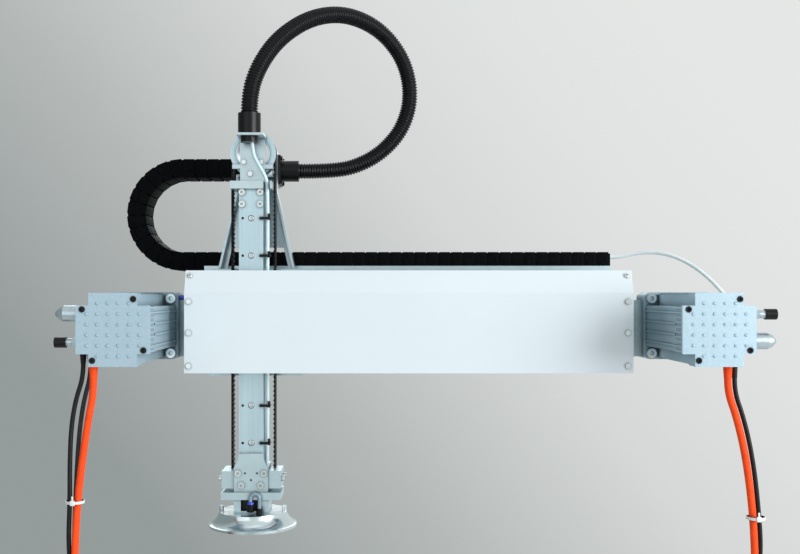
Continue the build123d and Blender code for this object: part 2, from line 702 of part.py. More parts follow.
def make_top_bracket():
    """Head plate on the upright, the conduit bracket, and the pulley's fixed hub."""
    with BuildPart() as head_plate:
        block((AXIS_X - 22.2, AXIS_X + 22.2), (-130, -88), TOP_PLATE)
        block((AXIS_X + 13.2, AXIS_X + 20.4), (-130, -117), TOP_PLATE, Mode.SUBTRACT)
        for side in (-1, 1):
            block(sorted((AXIS_X + side * 21.2, AXIS_X + side * 23)), (-107, -90), TOP_PLATE, Mode.SUBTRACT)
    with BuildPart() as bracket:
        block((AXIS_X - 13.5, AXIS_X + 13.5), BRACKET_Y, (TOP_PLATE[1], FLANGE_Z[1]))
        block((AXIS_X - 22, AXIS_X + 22), BRACKET_Y, (169.5, 174))
        block((AXIS_X - 14.5, AXIS_X + 14.5), (-140, BRACKET_Y[1]), FLANGE_Z)
        upright_rod(CONDUIT_TOP_X, CONDUIT_TOP_Y, 8.6, FLANGE_Z[0] - 1, FLANGE_Z[1] + 1, Mode.SUBTRACT)
    with BuildPart() as hub:
        rod(AXIS_X, PULLEY_Z, BEARING_R, BRACKET_Y[1], -88.5)
        rod(AXIS_X, PULLEY_Z, BEARING_R - 1.6, BRACKET_Y[1], -88.5, Mode.SUBTRACT)
    pieces = [head_plate.part.solid(), bracket.part.solid(), hub.part.solid()]
    whole = Compound(label="top_bracket", children=pieces)
    export_step(whole, "parts/top_bracket.step")


def make_top_pulley():
    """Large ring pulley that turns round the hub."""
    with BuildPart() as ring:
        rod(AXIS_X, PULLEY_Z, TOP_R - RUN_GAP, -108.2, -89)
        for y0 in (-108.2, -90.7):
            rod(AXIS_X, PULLEY_Z, 24.7, y0, y0 + 1.7)
        rod(AXIS_X, PULLEY_Z, BEARING_R + 0.05, -109, -88, Mode.SUBTRACT)
    save(ring, "top_pulley")


def make_upright_screws():
    """Screws of the head, the foot and the dish."""
    with BuildPart() as screws:
        for dx in (-9.8, 9.8):
            for z in (142.7, 130.0):
                socket_head(AXIS_X + dx, z, UPRIGHT_FRONT, 3.4, 2.4, 1.5, 4)
        for dx, z in ((-13.9, -157.0), (13.9, -157.0), (-10.3, -169.8), (10.3, -169.8)):
            socket_head(AXIS_X + dx, z, FOOT_FRONT, 3.5, 1.6, 1.9, 10)
        for dx in (-9.5, 9.5):
            rod(AXIS_X + dx, 176.5, 2.4, BRACKET_Y[0] - 1.8, BRACKET_Y[0])
        rod(AXIS_X - 2.5, 163.7, 2.6, BRACKET_Y[0] - 2, BRACKET_Y[0])
        for dx in (-34, 34):
            upright_rod(AXIS_X + dx, AXIS_Y, 2.4, DISH_TOP, DISH_TOP + 5)
        for side in (-1, 1):
            for y in (-119, -98):
                ends = sorted((AXIS_X + side * 31.6, AXIS_X + side * 35.2))
                cross_rod(y, -164, 2.6, *ends)
    save(screws, "z_screws")


def make_conduit_fitting_upper():
    x, y, z = CONDUIT_TOP_X, CONDUIT_TOP_Y, FLANGE_Z[1]
    with BuildPart() as fitting:
        upright_rod(x, y, 12.3, z, z + 22.5)
        upright_rod(x, y, 8.5, z - 8, z)
        upright_rod(x, y, 9.5, z - 8.5, FLANGE_Z[0])
        upright_rod(x, y, 6.0, z - 6, z + 30, Mode.SUBTRACT)
    save(fitting, "conduit_fitting_upper")


def make_foot_block():
    """Foot of the upright: clamp carrier with a front plate that narrows up to the beam's width."""
    with BuildPart() as foot:
        block((AXIS_X - FOOT_HALF, AXIS_X + FOOT_HALF), (FOOT_FRONT, -90), FOOT_Z)
        with BuildSketch(facing(UPRIGHT_FRONT)):
            with BuildLine():
                left = ThreePointArc((AXIS_X - FOOT_HALF, -151), (AXIS_X - 14.6, -144.5), (AXIS_X - 13, -136))
                right = ThreePointArc((AXIS_X + FOOT_HALF, -151), (AXIS_X + 14.6, -144.5), (AXIS_X + 13, -136))
                Line(left @ 1, right @ 1)
                Line(left @ 0, right @ 0)
            make_face()
        extrude(amount=UPRIGHT_FRONT - FOOT_FRONT)
        upright_rod(TUBE_END_X, -106, AIR_D / 2, -153, -149, Mode.SUBTRACT)
        for dx, z in ((-6.4, -157), (6.4, -157), (0, -164.3)):
            rod(AXIS_X + dx, z, 1.1, FOOT_FRONT, FOOT_FRONT + 4, Mode.SUBTRACT)
        for dx, z in ((-13.9, -157.0), (13.9, -157.0), (-10.3, -169.8), (10.3, -169.8)):
            rod(AXIS_X + dx, z, 1.9, FOOT_FRONT, FOOT_FRONT + 11, Mode.SUBTRACT)
    save(foot, "foot_block")


def make_belt_clamps():
    """Two clamp blocks that hold the belt's ends beside the foot."""
    with BuildPart() as clamps:
        for side in (-1, 1):
            block(sorted((AXIS_X + side * (FOOT_HALF + 0.1), AXIS_X + side * 31.6)), (-126, -90),
                  (-173.5, CLAMP_TOP))
    save(clamps, "belt_clamps")


def make_gripper_mount():
    """Foot plate and the open cage between it and the dish."""
    with BuildPart() as mount:
        block((AXIS_X - 31.8, AXIS_X + 31.8), (-130, -88), (-185.1, FOOT_Z[0]))
        for x0, x1 in ((-18.5, -11.0), (10.5, 18.5)):
            block((AXIS_X + x0, AXIS_X + x1), (-127, -91), (-197.5, -185.1))
        block((AXIS_X - 18.5, AXIS_X + 18.5), (-127, -91), (DISH_TOP, -197.5))
    save(mount, "gripper_mount")


def make_gripper_valve():
    """Black valve in the cage with a blue-collared push-in fitting and its short tube."""
    with BuildPart() as valve:
        block((AXIS_X - 10.4, AXIS_X + 6.5), (-123, -96), (-197.2, -185.6))
        block((AXIS_X - 4, AXIS_X + 4), (-133, -123), (-197.2, -190.5))
        upright_rod(AXIS_X, -133, 3.9, -197.2, -189)
    with BuildPart() as collar:
        upright_rod(AXIS_X, -133, 3.3, -189, -186.6)
        upright_rod(AXIS_X, -133, 2.0, -190, -186, Mode.SUBTRACT)
    with BuildPart() as jumper:
        with BuildLine() as route:
            rise = Line((AXIS_X, -133, -188.8), (AXIS_X, -133, -183))
            bow = ThreePointArc(rise @ 1, (AXIS_X + 4.75, -133, -178.25), (AXIS_X + 9.5, -133, -183))
            Line(bow @ 1, (AXIS_X + 9.5, -133, -193.5))
        with BuildSketch(Plane(origin=(AXIS_X, -133, -188.8), z_dir=(0, 0, 1))):
            Circle(1.9)
        sweep(path=route.line)
    with BuildPart() as socket:
        upright_rod(AXIS_X + 9.5, -133, 3.4, -200, -193.5)
        block((AXIS_X + 6.6, AXIS_X + 12.4), (-133, -127.1), (-200, -195))
    pieces = [valve.part.solid(), collar.part.solid(), jumper.part.solid(), socket.part.solid()]
    whole = Compound(label="gripper_valve", children=pieces)
    export_step(whole, "parts/gripper_valve.step")


def make_gripper_dish():
    """Flared round dish with a flat top and a shallow hollow below."""
    axis = Plane(origin=(AXIS_X, AXIS_Y, 0), x_dir=(1, 0, 0), z_dir=(0, -1, 0))
    with BuildPart() as dish:
        with BuildSketch(axis):
            with BuildLine():
                Line((3, DISH_TOP), (36.5, DISH_TOP))
                ThreePointArc((36.5, DISH_TOP), (39.6, -207.6), (47.3, -213.5))
                Line((47.3, -213.5), (47.3, -216.3))
                Line((47.3, -216.3), (44.0, -217.0))
                Line((44.0, -217.0), (35.0, -217.0))
                Line((35.0, -217.0), (33.5, -206.0))
                Line((33.5, -206.0), (3, -206.0))
                Line((3, -206.0), (3, DISH_TOP))
            make_face()
        revolve(axis=Axis((AXIS_X, AXIS_Y, 0), (0, 0, 1)))
    save(dish, "gripper_dish")


def bent_path(points, print_as):
    """Straight runs joined by tangent arcs, each as large as its two runs allow."""
    radii = []
    for a, b, c in zip(points, points[1:], points[2:]):
        one, two = Vector(*b) - Vector(*a), Vector(*c) - Vector(*b)
        half = math.radians(one.get_angle(two)) / 2
        radii.append(0.45 * min(one.length, two.length) / math.tan(half))
    path = FilletPolyline(*points, radius=radii)
    print(print_as, "length", round(path.length, 1), "radii", [round(r) for r in radii])
    return path


def make_cord(points, diameter, label):
    """A plain tube along the cord's route."""
    with BuildPart() as cord:
        with BuildLine():
            path = bent_path(points, label)
        with BuildSketch(Plane(origin=path @ 0, z_dir=path % 0)):
            Circle(diameter / 2)
        sweep(path=path)
    print("   volume over section times length",
          round(cord.part.volume / (math.pi * diameter ** 2 / 4 * path.length), 4))
    save(cord, label)


TUBE_X, TUBE_Y = AXIS_X + 17.0, -121.5
TUBE_END_X = AXIS_X + 15.3
AIR_ROUTE = [
    (-170.0, -125, 196), (-170.0, -125, 185), (-162.5, -123.5, 171), (TUBE_X - 0.4, TUBE_Y, 157),
    (TUBE_X, TUBE_Y, 138),
    (TUBE_X + 0.2, TUBE_Y, 110), (TUBE_X, TUBE_Y, 60), (TUBE_X + 0.2, TUBE_Y, 5),
    (TUBE_X, TUBE_Y, -50), (TUBE_X + 0.2, TUBE_Y, -92), (TUBE_X - 0.7, -114.5, -115),
    (TUBE_END_X, -106, -136), (TUBE_END_X, -106, -153),
]


def make_tube_ties():
    """Cable ties that hold the air tube beside the upright."""
    with BuildPart() as ties:
        for z in HOLE_ROWS:
            block((AXIS_X + 9.5, AXIS_X + 20.4), (-128.0, -126.3), (z - 1.4, z + 1.4))
            block((AXIS_X + 19.2, AXIS_X + 20.4), (-128.0, -118), (z - 1.4, z + 1.4))
            block((AXIS_X + 9.0, AXIS_X + 11.0), (-128.0, UPRIGHT_FRONT), (z - 1.4, z + 1.4))
            block((AXIS_X + 17.8, AXIS_X + 20.4), (-128.6, -125.2), (z - 2.0, z + 4.8))
    save(ties, "tube_ties")


# ---------------------------------------------------------------- conduit and cables

CONDUIT_ROUTE = [
    (-127.5, -22, 177.5), (-97, -22, 177.5), (-63, -19.5, 182), (-30, -17, 200), (-5, -15, 230),
    (4, -15, 268), (-5, -20, 308), (-32, -36, 339), (-70, -60, 351), (-108, -86, 341),
    (-142, -109, 313), (-163, -121, 280), (-173, -125, 249), (-173, -125, 227),
]
WHITE_ROUTE = [
    (COMB_X, -22, 77), (246, -22, 77), (268, -27, 82.5), (292, -36, 82), (313, -48, 73.5),
    (332, -62, 58), (347, -75, 39), (357.5, -87, 20), (359, -93, -1), (346, -94, -16.5),
    (325.5, -94, -16.5),
]
CABLE_Y = -243.0
DROP_END = -258.0
LEFT_DROP = [(-308, -47), (-308, -61), (-312.5, -84), (-316.8, -112), (-321, -144),
             (-324, -176), (-325.6, -209), (-326, -235), (-326, DROP_END)]
RIGHT_DROP = [(298.5, -47), (298.5, -60), (306.3, -82), (313.5, -111), (318.7, -143),
              (322.3, -176), (324.2, -209), (324.5, -235), (324.3, DROP_END)]
ORANGE_LEFT = [(x, CABLE_Y, z) for x, z in LEFT_DROP]
ORANGE_RIGHT = [(x, CABLE_Y, z) for x, z in RIGHT_DROP]
BLACK_LEFT = [
    (-318.6, -240, -33), (-318.6, -240, -46), (-325.6, -240.7, -67), (-329.8, -241.5, -94),
    (-330.8, -242.5, -128),
    (-330.6, -243, -165), (-332, -243, -200), (-331, -240, -231), (-327.8, -237.3, DROP_END),
]
GREY_LEFT = [
    (-313.3, -233.5, -33), (-313.3, -233.5, -46), (-319.5, -234.2, -68), (-323.3, -235.5, -96),
    (-325.4, -236.5, -129),
    (-326.8, -237, -165), (-328.3, -236.6, -200), (-328.4, -234.6, -231), (-327.6, -232.5, DROP_END),
]
BLACK_RIGHT = [
    (305.3, -242, -47), (305.3, -242, -60), (313.2, -242, -82), (320.1, -242, -110),
    (325.2, -242, -142),
    (328.5, -242, -176), (330.5, -242, -206), (329.6, -239.6, -233), (326.2, -237.3, DROP_END),
]
COIL_R, COIL_HALF = 40.0, 13.0
COIL_LEFT, COIL_RIGHT, COIL_Z = -277.0, 275.5, -289.0
COIL_FRONT, LEFT_DEPTH, RIGHT_DEPTH = -254.0, 24.0, 19.4


def make_coil(x, depth, label):
    """Outer shape of the tied coil of spare cable, hanging in the plane of the drop."""
    with BuildPart() as coil:
        with BuildSketch(Plane(origin=(x, COIL_FRONT + depth / 2, COIL_Z), x_dir=(1, 0, 0), z_dir=(0, 0, 1))):
            with Locations((COIL_R, 0)):
                RectangleRounded(2 * COIL_HALF, depth, 7)
        revolve(axis=Axis((x, COIL_FRONT + depth / 2, COIL_Z), (0, 1, 0)))
    save(coil, label)


POWER_PLUG_R, POWER_PLUG_L = 10.5, 46.0
SIGNAL_PLUG_R, SIGNAL_PLUG_L = 7.2, 36.0
POWER_PLUG_TOP = COIL_Z


def make_plugs():
    """Round connectors on the cables' far ends, lying on the front of the coils."""
    deep, shallow = COIL_FRONT - POWER_PLUG_R, COIL_FRONT - SIGNAL_PLUG_R
    with BuildPart() as plugs:
        for side, x in ((-1, COIL_LEFT), (1, COIL_RIGHT)):
            upright_rod(x + side * COIL_R, deep, POWER_PLUG_R, POWER_PLUG_TOP - POWER_PLUG_L, POWER_PLUG_TOP)
            ends = sorted((x - side * 3, x - side * (3 + SIGNAL_PLUG_L)))
            cross_rod(shallow, COIL_Z - COIL_R, SIGNAL_PLUG_R, *ends)
        upright_rod(COIL_LEFT + COIL_R, shallow, SIGNAL_PLUG_R, COIL_Z + 3, COIL_Z + 3 + SIGNAL_PLUG_L)
    save(plugs, "cable_plugs")


TIE_LEFT, TIE_RIGHT = (-326.3, -240.7, -165.0), (325.4, -242.5, -180.0)
TIE_R = 8.3


def make_cable_glands():
    """Glands where the cables leave the motors, and the tie round each bundle."""
    low = -MOTOR_SIZE / 2
    with BuildPart() as glands:
        for x in (-308.0, 298.5):
            upright_rod(x, CABLE_Y, 4.6, low - 12, low)
        upright_rod(305.3, -242, 3.0, low - 12, low)
        for x, y in ((-318.6, -240.0), (-313.3, -233.5)):
            upright_rod(x, y, 3.4, -33, -22.2)
        cross_rod(-94, -16.5, 4.5, MOTOR_X + 36, 325.5)
        for x, y, z in (TIE_LEFT, TIE_RIGHT):
            upright_rod(x, y, TIE_R + 1, z - 2, z + 2)
            upright_rod(x, y, TIE_R, z - 3, z + 3, Mode.SUBTRACT)
    save(glands, "cable_glands")


def make_blue_tube():
    """Short blue air tube on top of the left drive head, between two collars."""
    with BuildPart() as tube:
        cross_rod(-106, 29.7, 2.0, -249, BEAM_LEFT + 6)
    with BuildPart() as collar:
        cross_rod(-106, 29.7, 3.2, -250.7, -247)
        cross_rod(-106, 29.7, 2.0, -249, -246, Mode.SUBTRACT)
    whole = Compound(label="blue_tube", children=[tube.part.solid(), collar.part.solid()])
    export_step(whole, "parts/blue_tube.step")


make_beam()
make_beam_rails()
make_drive_head(-1, "drive_head_left")
make_drive_head(1, "drive_head_right")
make_cover()
make_end_plates()
make_frame_screws()
make_motor_flanges()
make_motor_body(-1, "motor_body_left")
make_motor_body(1, "motor_body_right")
make_motor_rear_covers()
make_rear_cover_screws()
make_port_fittings()
make_service_caps()
make_cable_glands()
make_chain_tray()
make_chain()
make_blue_tube()
make_drive_wraps()
make_idler_wraps()
make_top_wrap()
make_level_runs()
make_upright_runs()
make_drive_pulley(-1, "drive_pulley_left")
make_drive_pulley(1, "drive_pulley_right")
make_idler(-IDLER_DX, IDLER_Z, "idler_upper_left")
make_idler(IDLER_DX, IDLER_Z, "idler_upper_right")
make_idler(-IDLER_DX, -IDLER_Z, "idler_lower_left")
make_idler(IDLER_DX, -IDLER_Z, "idler_lower_right")
make_idler_axles()
make_carriage_plate()
make_guide_blocks()
make_chain_bracket()
make_conduit_fitting_lower()
make_upright_beam()
make_upright_rail()
make_top_bracket()
make_top_pulley()
make_upright_screws()
make_conduit_fitting_upper()
make_foot_block()
make_belt_clamps()
make_gripper_mount()
make_gripper_valve()
make_gripper_dish()
make_tube_ties()
make_cord(AIR_ROUTE, AIR_D, "air_tube")
make_cord(CONDUIT_ROUTE, CONDUIT_D, "conduit")
make_cord(WHITE_ROUTE, SENSOR_D, "white_cable")
make_cord(ORANGE_LEFT, POWER_D, "orange_cable_left")
make_cord(ORANGE_RIGHT, POWER_D, "orange_cable_right")
make_cord(BLACK_LEFT, SIGNAL_D, "black_cable_left")
make_cord(GREY_LEFT, SIGNAL_D, "grey_cable_left")
make_cord(BLACK_RIGHT, SIGNAL_D, "black_cable_right")
make_coil(COIL_LEFT, LEFT_DEPTH, "cable_coil_left")
make_coil(COIL_RIGHT, RIGHT_DEPTH, "cable_coil_right")
make_plugs()
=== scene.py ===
import math

import bmesh
import bpy
from mathutils import Matrix, Vector


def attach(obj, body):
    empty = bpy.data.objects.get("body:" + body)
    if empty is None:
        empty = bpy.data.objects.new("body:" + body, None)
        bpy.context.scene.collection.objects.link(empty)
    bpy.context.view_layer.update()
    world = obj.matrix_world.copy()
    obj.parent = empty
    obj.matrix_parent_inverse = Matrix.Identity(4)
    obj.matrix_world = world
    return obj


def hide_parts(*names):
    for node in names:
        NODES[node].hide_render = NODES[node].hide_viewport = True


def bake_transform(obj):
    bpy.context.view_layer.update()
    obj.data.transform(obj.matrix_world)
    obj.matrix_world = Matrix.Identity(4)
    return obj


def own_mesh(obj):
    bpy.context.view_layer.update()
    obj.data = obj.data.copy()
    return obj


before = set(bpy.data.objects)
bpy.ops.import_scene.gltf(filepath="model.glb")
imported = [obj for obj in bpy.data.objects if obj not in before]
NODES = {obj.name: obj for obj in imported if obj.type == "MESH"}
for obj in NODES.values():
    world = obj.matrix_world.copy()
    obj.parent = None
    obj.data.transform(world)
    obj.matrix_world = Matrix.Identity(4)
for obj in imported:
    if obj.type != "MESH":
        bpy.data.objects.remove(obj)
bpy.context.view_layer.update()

# ---------------------------------------------------------------- dimensions, in metres
MM = 0.001
AXIS_X = -0.171                     # the upright's centre line
DISH_Y = -0.109
BELT_FRONT, BELT_REAR, BELT_THICK = -0.106, -0.091, 0.0024
MOTOR_X = 0.2868
DRIVE_R, IDLER_R, TOP_R = 0.019, 0.012, 0.0216
IDLER_DX = TOP_R + BELT_THICK + IDLER_R
IDLER_Z = DRIVE_R + BELT_THICK + IDLER_R
PULLEY_Z = 0.1864
CLAMP_TOP = -0.155

CHAIN_R = 0.0533
LINKS_IN_BEND = 12
LINK = math.pi * CHAIN_R / LINKS_IN_BEND
CHAIN_HALF_HEIGHT = 0.01075
CHAIN_FRONT, CHAIN_REAR = -0.043, -0.001
BEND_X, BEND_Z = -0.259, 0.1249
MOVING_LINKS, FIXED_LINKS, UPPER_LINKS = 13, 22, 5

CONDUIT_D = 0.0185
POWER_D, SIGNAL_D, WHITE_D, AIR_D = 0.007, 0.0045, 0.0045, 0.004

# ---------------------------------------------------------------- camera
# Level and square to the cover. The picture is shifted, so that the camera needs no tilt.
camera = bpy.data.objects.new("camera", bpy.data.cameras.new("camera"))
bpy.context.scene.collection.objects.link(camera)
camera.location = (-0.0388, -1.247, 0.033)
camera.rotation_euler = (math.radians(90), 0, 0)
camera.data.lens = 47.25
camera.data.sensor_width = 36
camera.data.shift_x = 0.03125
camera.data.shift_y = 0.0225
camera.data.clip_start = 0.01
camera.data.clip_end = 50
bpy.context.scene.camera = camera


# ---------------------------------------------------------------- finishes

def new_material(name):
    material = bpy.data.materials.new(name)
    material.use_nodes = True
    tree = material.node_tree
    return material, tree, tree.nodes["Principled BSDF"]


def add(tree, kind, **values):
    node = tree.nodes.new(kind)
    for key, value in values.items():
        setattr(node, key, value)
    return node


def noise(tree, scale, stretch=(1, 1, 1), detail=4.0):
    """Noise in the part's own coordinates, features about 1/scale metres across."""
    coords = add(tree, "ShaderNodeTexCoord")
    mapping = add(tree, "ShaderNodeMapping")
    mapping.inputs["Scale"].default_value = stretch
    tree.links.new(coords.outputs["Object"], mapping.inputs["Vector"])
    texture = add(tree, "ShaderNodeTexNoise")
    texture.inputs["Scale"].default_value = scale
    texture.inputs["Detail"].default_value = detail
    texture.inputs["Roughness"].default_value = 0.6
    tree.links.new(mapping.outputs["Vector"], texture.inputs["Vector"])
    return texture.outputs["Fac"]


def spread(tree, source, low, high, start=0.3, end=0.7):
    """Maps a value between start and end to one between low and high."""
    ranged = add(tree, "ShaderNodeMapRange")
    ranged.inputs["From Min"].default_value = start
    ranged.inputs["From Max"].default_value = end
    ranged.inputs["To Min"].default_value = low
    ranged.inputs["To Max"].default_value = high
    tree.links.new(source, ranged.inputs["Value"])
    return ranged.outputs["Result"]


ROUGH_SPREAD, LEAST_ROUGH, COAT_ROUGH = 0.06, 0.02, 0.15


def finish(name, colour, rough, metal=0.0, tone=0.08, tone_scale=60, grain=1200, bump=0.15,
           depth=0.00005, stretch=(1, 1, 1), coat=0.0, specular=0.5, sheen=0.0, ior=1.5, painted_shade_reach=0.0):
    """A procedural finish: mottled colour, uneven gloss and a fine grain in the surface.
    Where a shade distance is set, painted shade from an ambient occlusion node darkens the colour within that
    distance of another surface."""
    material, tree, shader = new_material(name)
    ramp = add(tree, "ShaderNodeValToRGB")
    ramp.color_ramp.elements[0].position = 0.3
    ramp.color_ramp.elements[1].position = 0.7
    ramp.color_ramp.elements[0].color = (*[c * (1 - tone) for c in colour], 1)
    ramp.color_ramp.elements[1].color = (*[min(1, c * (1 + tone)) for c in colour], 1)
    tree.links.new(noise(tree, tone_scale, stretch), ramp.inputs["Fac"])
    colour_out = ramp.outputs["Color"]
    # Painted shade: the base colour is darkened near other surfaces, in grooves and round screw heads.
    if painted_shade_reach > 0:
        shade = add(tree, "ShaderNodeAmbientOcclusion", samples=6)
        shade.inputs["Distance"].default_value = painted_shade_reach
        tree.links.new(colour_out, shade.inputs["Color"])
        colour_out = shade.outputs["Color"]
    tree.links.new(colour_out, shader.inputs["Base Color"])
    fine = noise(tree, grain, stretch, detail=3.0)
    gloss = spread(tree, fine, max(LEAST_ROUGH, rough - ROUGH_SPREAD), rough + ROUGH_SPREAD)
    tree.links.new(gloss, shader.inputs["Roughness"])
    relief = add(tree, "ShaderNodeBump")
    relief.inputs["Strength"].default_value = bump
    relief.inputs["Distance"].default_value = depth
    tree.links.new(fine, relief.inputs["Height"])
    tree.links.new(relief.outputs["Normal"], shader.inputs["Normal"])
    shader.inputs["Metallic"].default_value = metal
    shader.inputs["Specular IOR Level"].default_value = specular
    shader.inputs["IOR"].default_value = ior
    shader.inputs["Coat Weight"].default_value = coat
    shader.inputs["Coat Roughness"].default_value = COAT_ROUGH
    shader.inputs["Sheen Weight"].default_value = sheen
    return material


ALONG_X = (0.02, 1, 1)
ALONG_Z = (1, 1, 0.02)
# Where a finish has a shade distance, its colour carries painted shade near other surfaces.
MATERIALS = {
    "beam": finish("anodised_beam", (0.52, 0.64, 0.69), rough=0.38, metal=0.9, tone=0.05, tone_scale=300,
                   grain=1500, bump=0.25, stretch=ALONG_X, painted_shade_reach=0.006),
    "upright": finish("anodised_upright", (0.53, 0.69, 0.76), rough=0.36, metal=0.9, tone=0.07,
                      tone_scale=400, grain=1600, bump=0.25, stretch=ALONG_Z, painted_shade_reach=0.004),
    "plate": finish("anodised_plate", (0.54, 0.69, 0.74), rough=0.36, metal=0.9, tone=0.05, grain=1400,
                    bump=0.2, painted_shade_reach=0.004),
    "cast": finish("cast_housing", (0.42, 0.56, 0.64), rough=0.44, metal=0.55, tone=0.10, tone_scale=900,
                   grain=1300, bump=0.55, depth=0.00012, painted_shade_reach=0.007),
    "cast_tail": finish("cast_rear_cover", (0.40, 0.54, 0.63), rough=0.40, metal=0.5, tone_scale=700,
                        bump=0.6, depth=0.00014, painted_shade_reach=0.003),
    "head": finish("cast_head", (0.40, 0.50, 0.53), rough=0.45, metal=0.6, tone_scale=300, grain=1100,
                   bump=0.5, depth=0.0001, painted_shade_reach=0.006),
    "cover": finish("painted_sheet", (0.64, 0.72, 0.77), rough=0.36, tone=0.012, tone_scale=8, grain=500,
                    bump=0.10, coat=0.2, painted_shade_reach=0.0025),
    "sheet": finish("bracket_sheet", (0.54, 0.66, 0.71), rough=0.34, metal=0.9, tone=0.06, tone_scale=90,
                    grain=1300, bump=0.2, painted_shade_reach=0.004),
    "rail": finish("ground_rail", (0.50, 0.55, 0.58), rough=0.24, metal=1.0, tone=0.06, tone_scale=500,
                   grain=1800, bump=0.2, stretch=ALONG_X, painted_shade_reach=0.004),
    "bright": finish("zinc_screw", (0.70, 0.77, 0.79), rough=0.2, metal=1.0, tone_scale=500, grain=1600,
                     bump=0.25, painted_shade_reach=0.0022),
    "black_steel": finish("black_oxide", (0.008, 0.008, 0.009), rough=0.36, metal=0.2, tone=0.3,
                          tone_scale=600, grain=1500, bump=0.3, specular=0.3),
    "nickel": finish("nickel_fitting", (0.66, 0.68, 0.66), rough=0.2, metal=1.0, tone_scale=300,
                     grain=1500),
    "chain": finish("chain_plastic", (0.0025, 0.003, 0.004), rough=0.6, tone=0.35, tone_scale=250,
                    grain=1800, bump=0.35, depth=0.00008, specular=0.25, ior=1.15),
    "conduit": finish("conduit_plastic", (0.003, 0.0035, 0.005), rough=0.30, tone=0.3, tone_scale=200,
                      grain=1500, bump=0.2, specular=0.22),
    "belt": finish("belt_rubber", (0.005, 0.005, 0.006), rough=0.6, tone=0.3, tone_scale=400, grain=1400,
                   bump=0.5, specular=0.15, sheen=0.02),
    "plastic": finish("moulded_plastic", (0.004, 0.004, 0.005), rough=0.32, tone=0.25, tone_scale=300,
                      grain=1500, bump=0.25, specular=0.25),
    "orange": finish("orange_jacket", (0.90, 0.075, 0.012), rough=0.5, tone=0.10, tone_scale=90, grain=1500,
                     bump=0.3, depth=0.00008, specular=0.15),
    "black": finish("black_jacket", (0.006, 0.006, 0.007), rough=0.42, tone=0.25, tone_scale=120,
                    grain=1500, bump=0.3, depth=0.00008, specular=0.25),
    "grey": finish("grey_jacket", (0.03, 0.035, 0.038), rough=0.45, tone=0.2, tone_scale=120, grain=1500,
                   bump=0.3, depth=0.00008, specular=0.3),
    "white": finish("white_jacket", (0.66, 0.74, 0.76), rough=0.4, tone=0.05, tone_scale=100, grain=1500,
                    bump=0.25, depth=0.00008),
    "fitting": finish("satin_fitting", (0.50, 0.60, 0.66), rough=0.34, metal=0.9, tone_scale=300,
                      grain=1500, bump=0.2, painted_shade_reach=0.003),
    "clear": finish("smoked_tube", (0.20, 0.28, 0.34), rough=0.22, tone_scale=200, grain=900, bump=0.1,
                    coat=0.4),
    "pale": finish("pale_tube", (0.55, 0.72, 0.77), rough=0.2, tone=0.05, tone_scale=90, grain=900,
                   bump=0.1, coat=0.4),
    "blue": finish("blue_plastic", (0.010, 0.05, 0.62), rough=0.25, tone=0.15, tone_scale=120, coat=0.2),
    "tie": finish("tie_plastic", (0.72, 0.74, 0.74), rough=0.42, tone=0.06, tone_scale=200, grain=1400,
                  bump=0.2),
}


def turned_metal():
    """Polished metal with faint concentric turning marks round the dish's axis."""
    material, tree, shader = new_material("turned_dish")
    coords = add(tree, "ShaderNodeTexCoord")
    place = add(tree, "ShaderNodeMapping")
    place.inputs["Location"].default_value = (-AXIS_X, -DISH_Y, 0)
    tree.links.new(coords.outputs["Object"], place.inputs["Vector"])
    rings = add(tree, "ShaderNodeTexWave", wave_type="RINGS", rings_direction="Z")
    rings.inputs["Scale"].default_value = 900
    rings.inputs["Distortion"].default_value = 0.6
    tree.links.new(place.outputs["Vector"], rings.inputs["Vector"])
    smudge = noise(tree, 70)
    tree.links.new(spread(tree, smudge, 0.14, 0.26), shader.inputs["Roughness"])
    relief = add(tree, "ShaderNodeBump")
    relief.inputs["Strength"].default_value = 0.06
    relief.inputs["Distance"].default_value = 0.00003
    tree.links.new(rings.outputs["Fac"], relief.inputs["Height"])
    tree.links.new(relief.outputs["Normal"], shader.inputs["Normal"])
    ramp = add(tree, "ShaderNodeValToRGB")
    ramp.color_ramp.elements[0].color = (0.60, 0.70, 0.74, 1)
    ramp.color_ramp.elements[1].color = (0.70, 0.80, 0.84, 1)
    tree.links.new(smudge, ramp.inputs["Fac"])
    tree.links.new(ramp.outputs["Color"], shader.inputs["Base Color"])
    shader.inputs["Metallic"].default_value = 1.0
    return material


MATERIALS["dish"] = turned_metal()


# ---------------------------------------------------------------- building helpers

def link_object(name, data):
    piece = bpy.data.objects.new(name, data)
    bpy.context.scene.collection.objects.link(piece)
    return piece


def shade_smooth(mesh, sharp_angle):
    mesh.polygons.foreach_set("use_smooth", [True] * len(mesh.polygons))
    mesh.set_sharp_from_angle(angle=math.radians(sharp_angle))


def mesh_piece(name, verts, faces, material, sharp_angle=None):
    """A piece from vertices and faces: smooth up to the sharp angle, or flat when there is none."""
    mesh = bpy.data.meshes.new(name)
    mesh.from_pydata(verts, [], faces)
    mesh.update()
    piece = link_object(name, mesh)
    mesh.materials.append(material)
    if sharp_angle is not None:
        shade_smooth(mesh, sharp_angle)
    return piece


def nurbs_data(name, points):
    """One open spline with the route's points as its control points."""
    curve = bpy.data.curves.new(name, "CURVE")
    curve.dimensions = "3D"
    spline = curve.splines.new("NURBS")
    spline.points.add(len(points) - 1)
    for point, place in zip(spline.points, points):
        point.co = (*place, 1)
    spline.order_u = 3
    spline.use_endpoint_u = True
    curve.resolution_u = 10
    curve.use_fill_caps = True
    return curve


def cord_curve(name, points, diameter, material):
    curve = nurbs_data(name, points)
    curve.bevel_depth = diameter / 2
    curve.bevel_resolution = 5
    curve.materials.append(material)
    return link_object(name, curve)


def curve_points(name, points):
    """The points that Blender reads from the route's NURBS curve."""
    curve = nurbs_data(name, points)
    curve.resolution_u = 24
    holder = link_object(name, curve)
    depsgraph = bpy.context.evaluated_depsgraph_get()
    line = bpy.data.meshes.new_from_object(holder.evaluated_get(depsgraph))
    path = [v.co.copy() for v in line.vertices]
    bpy.data.objects.remove(holder)
    return path


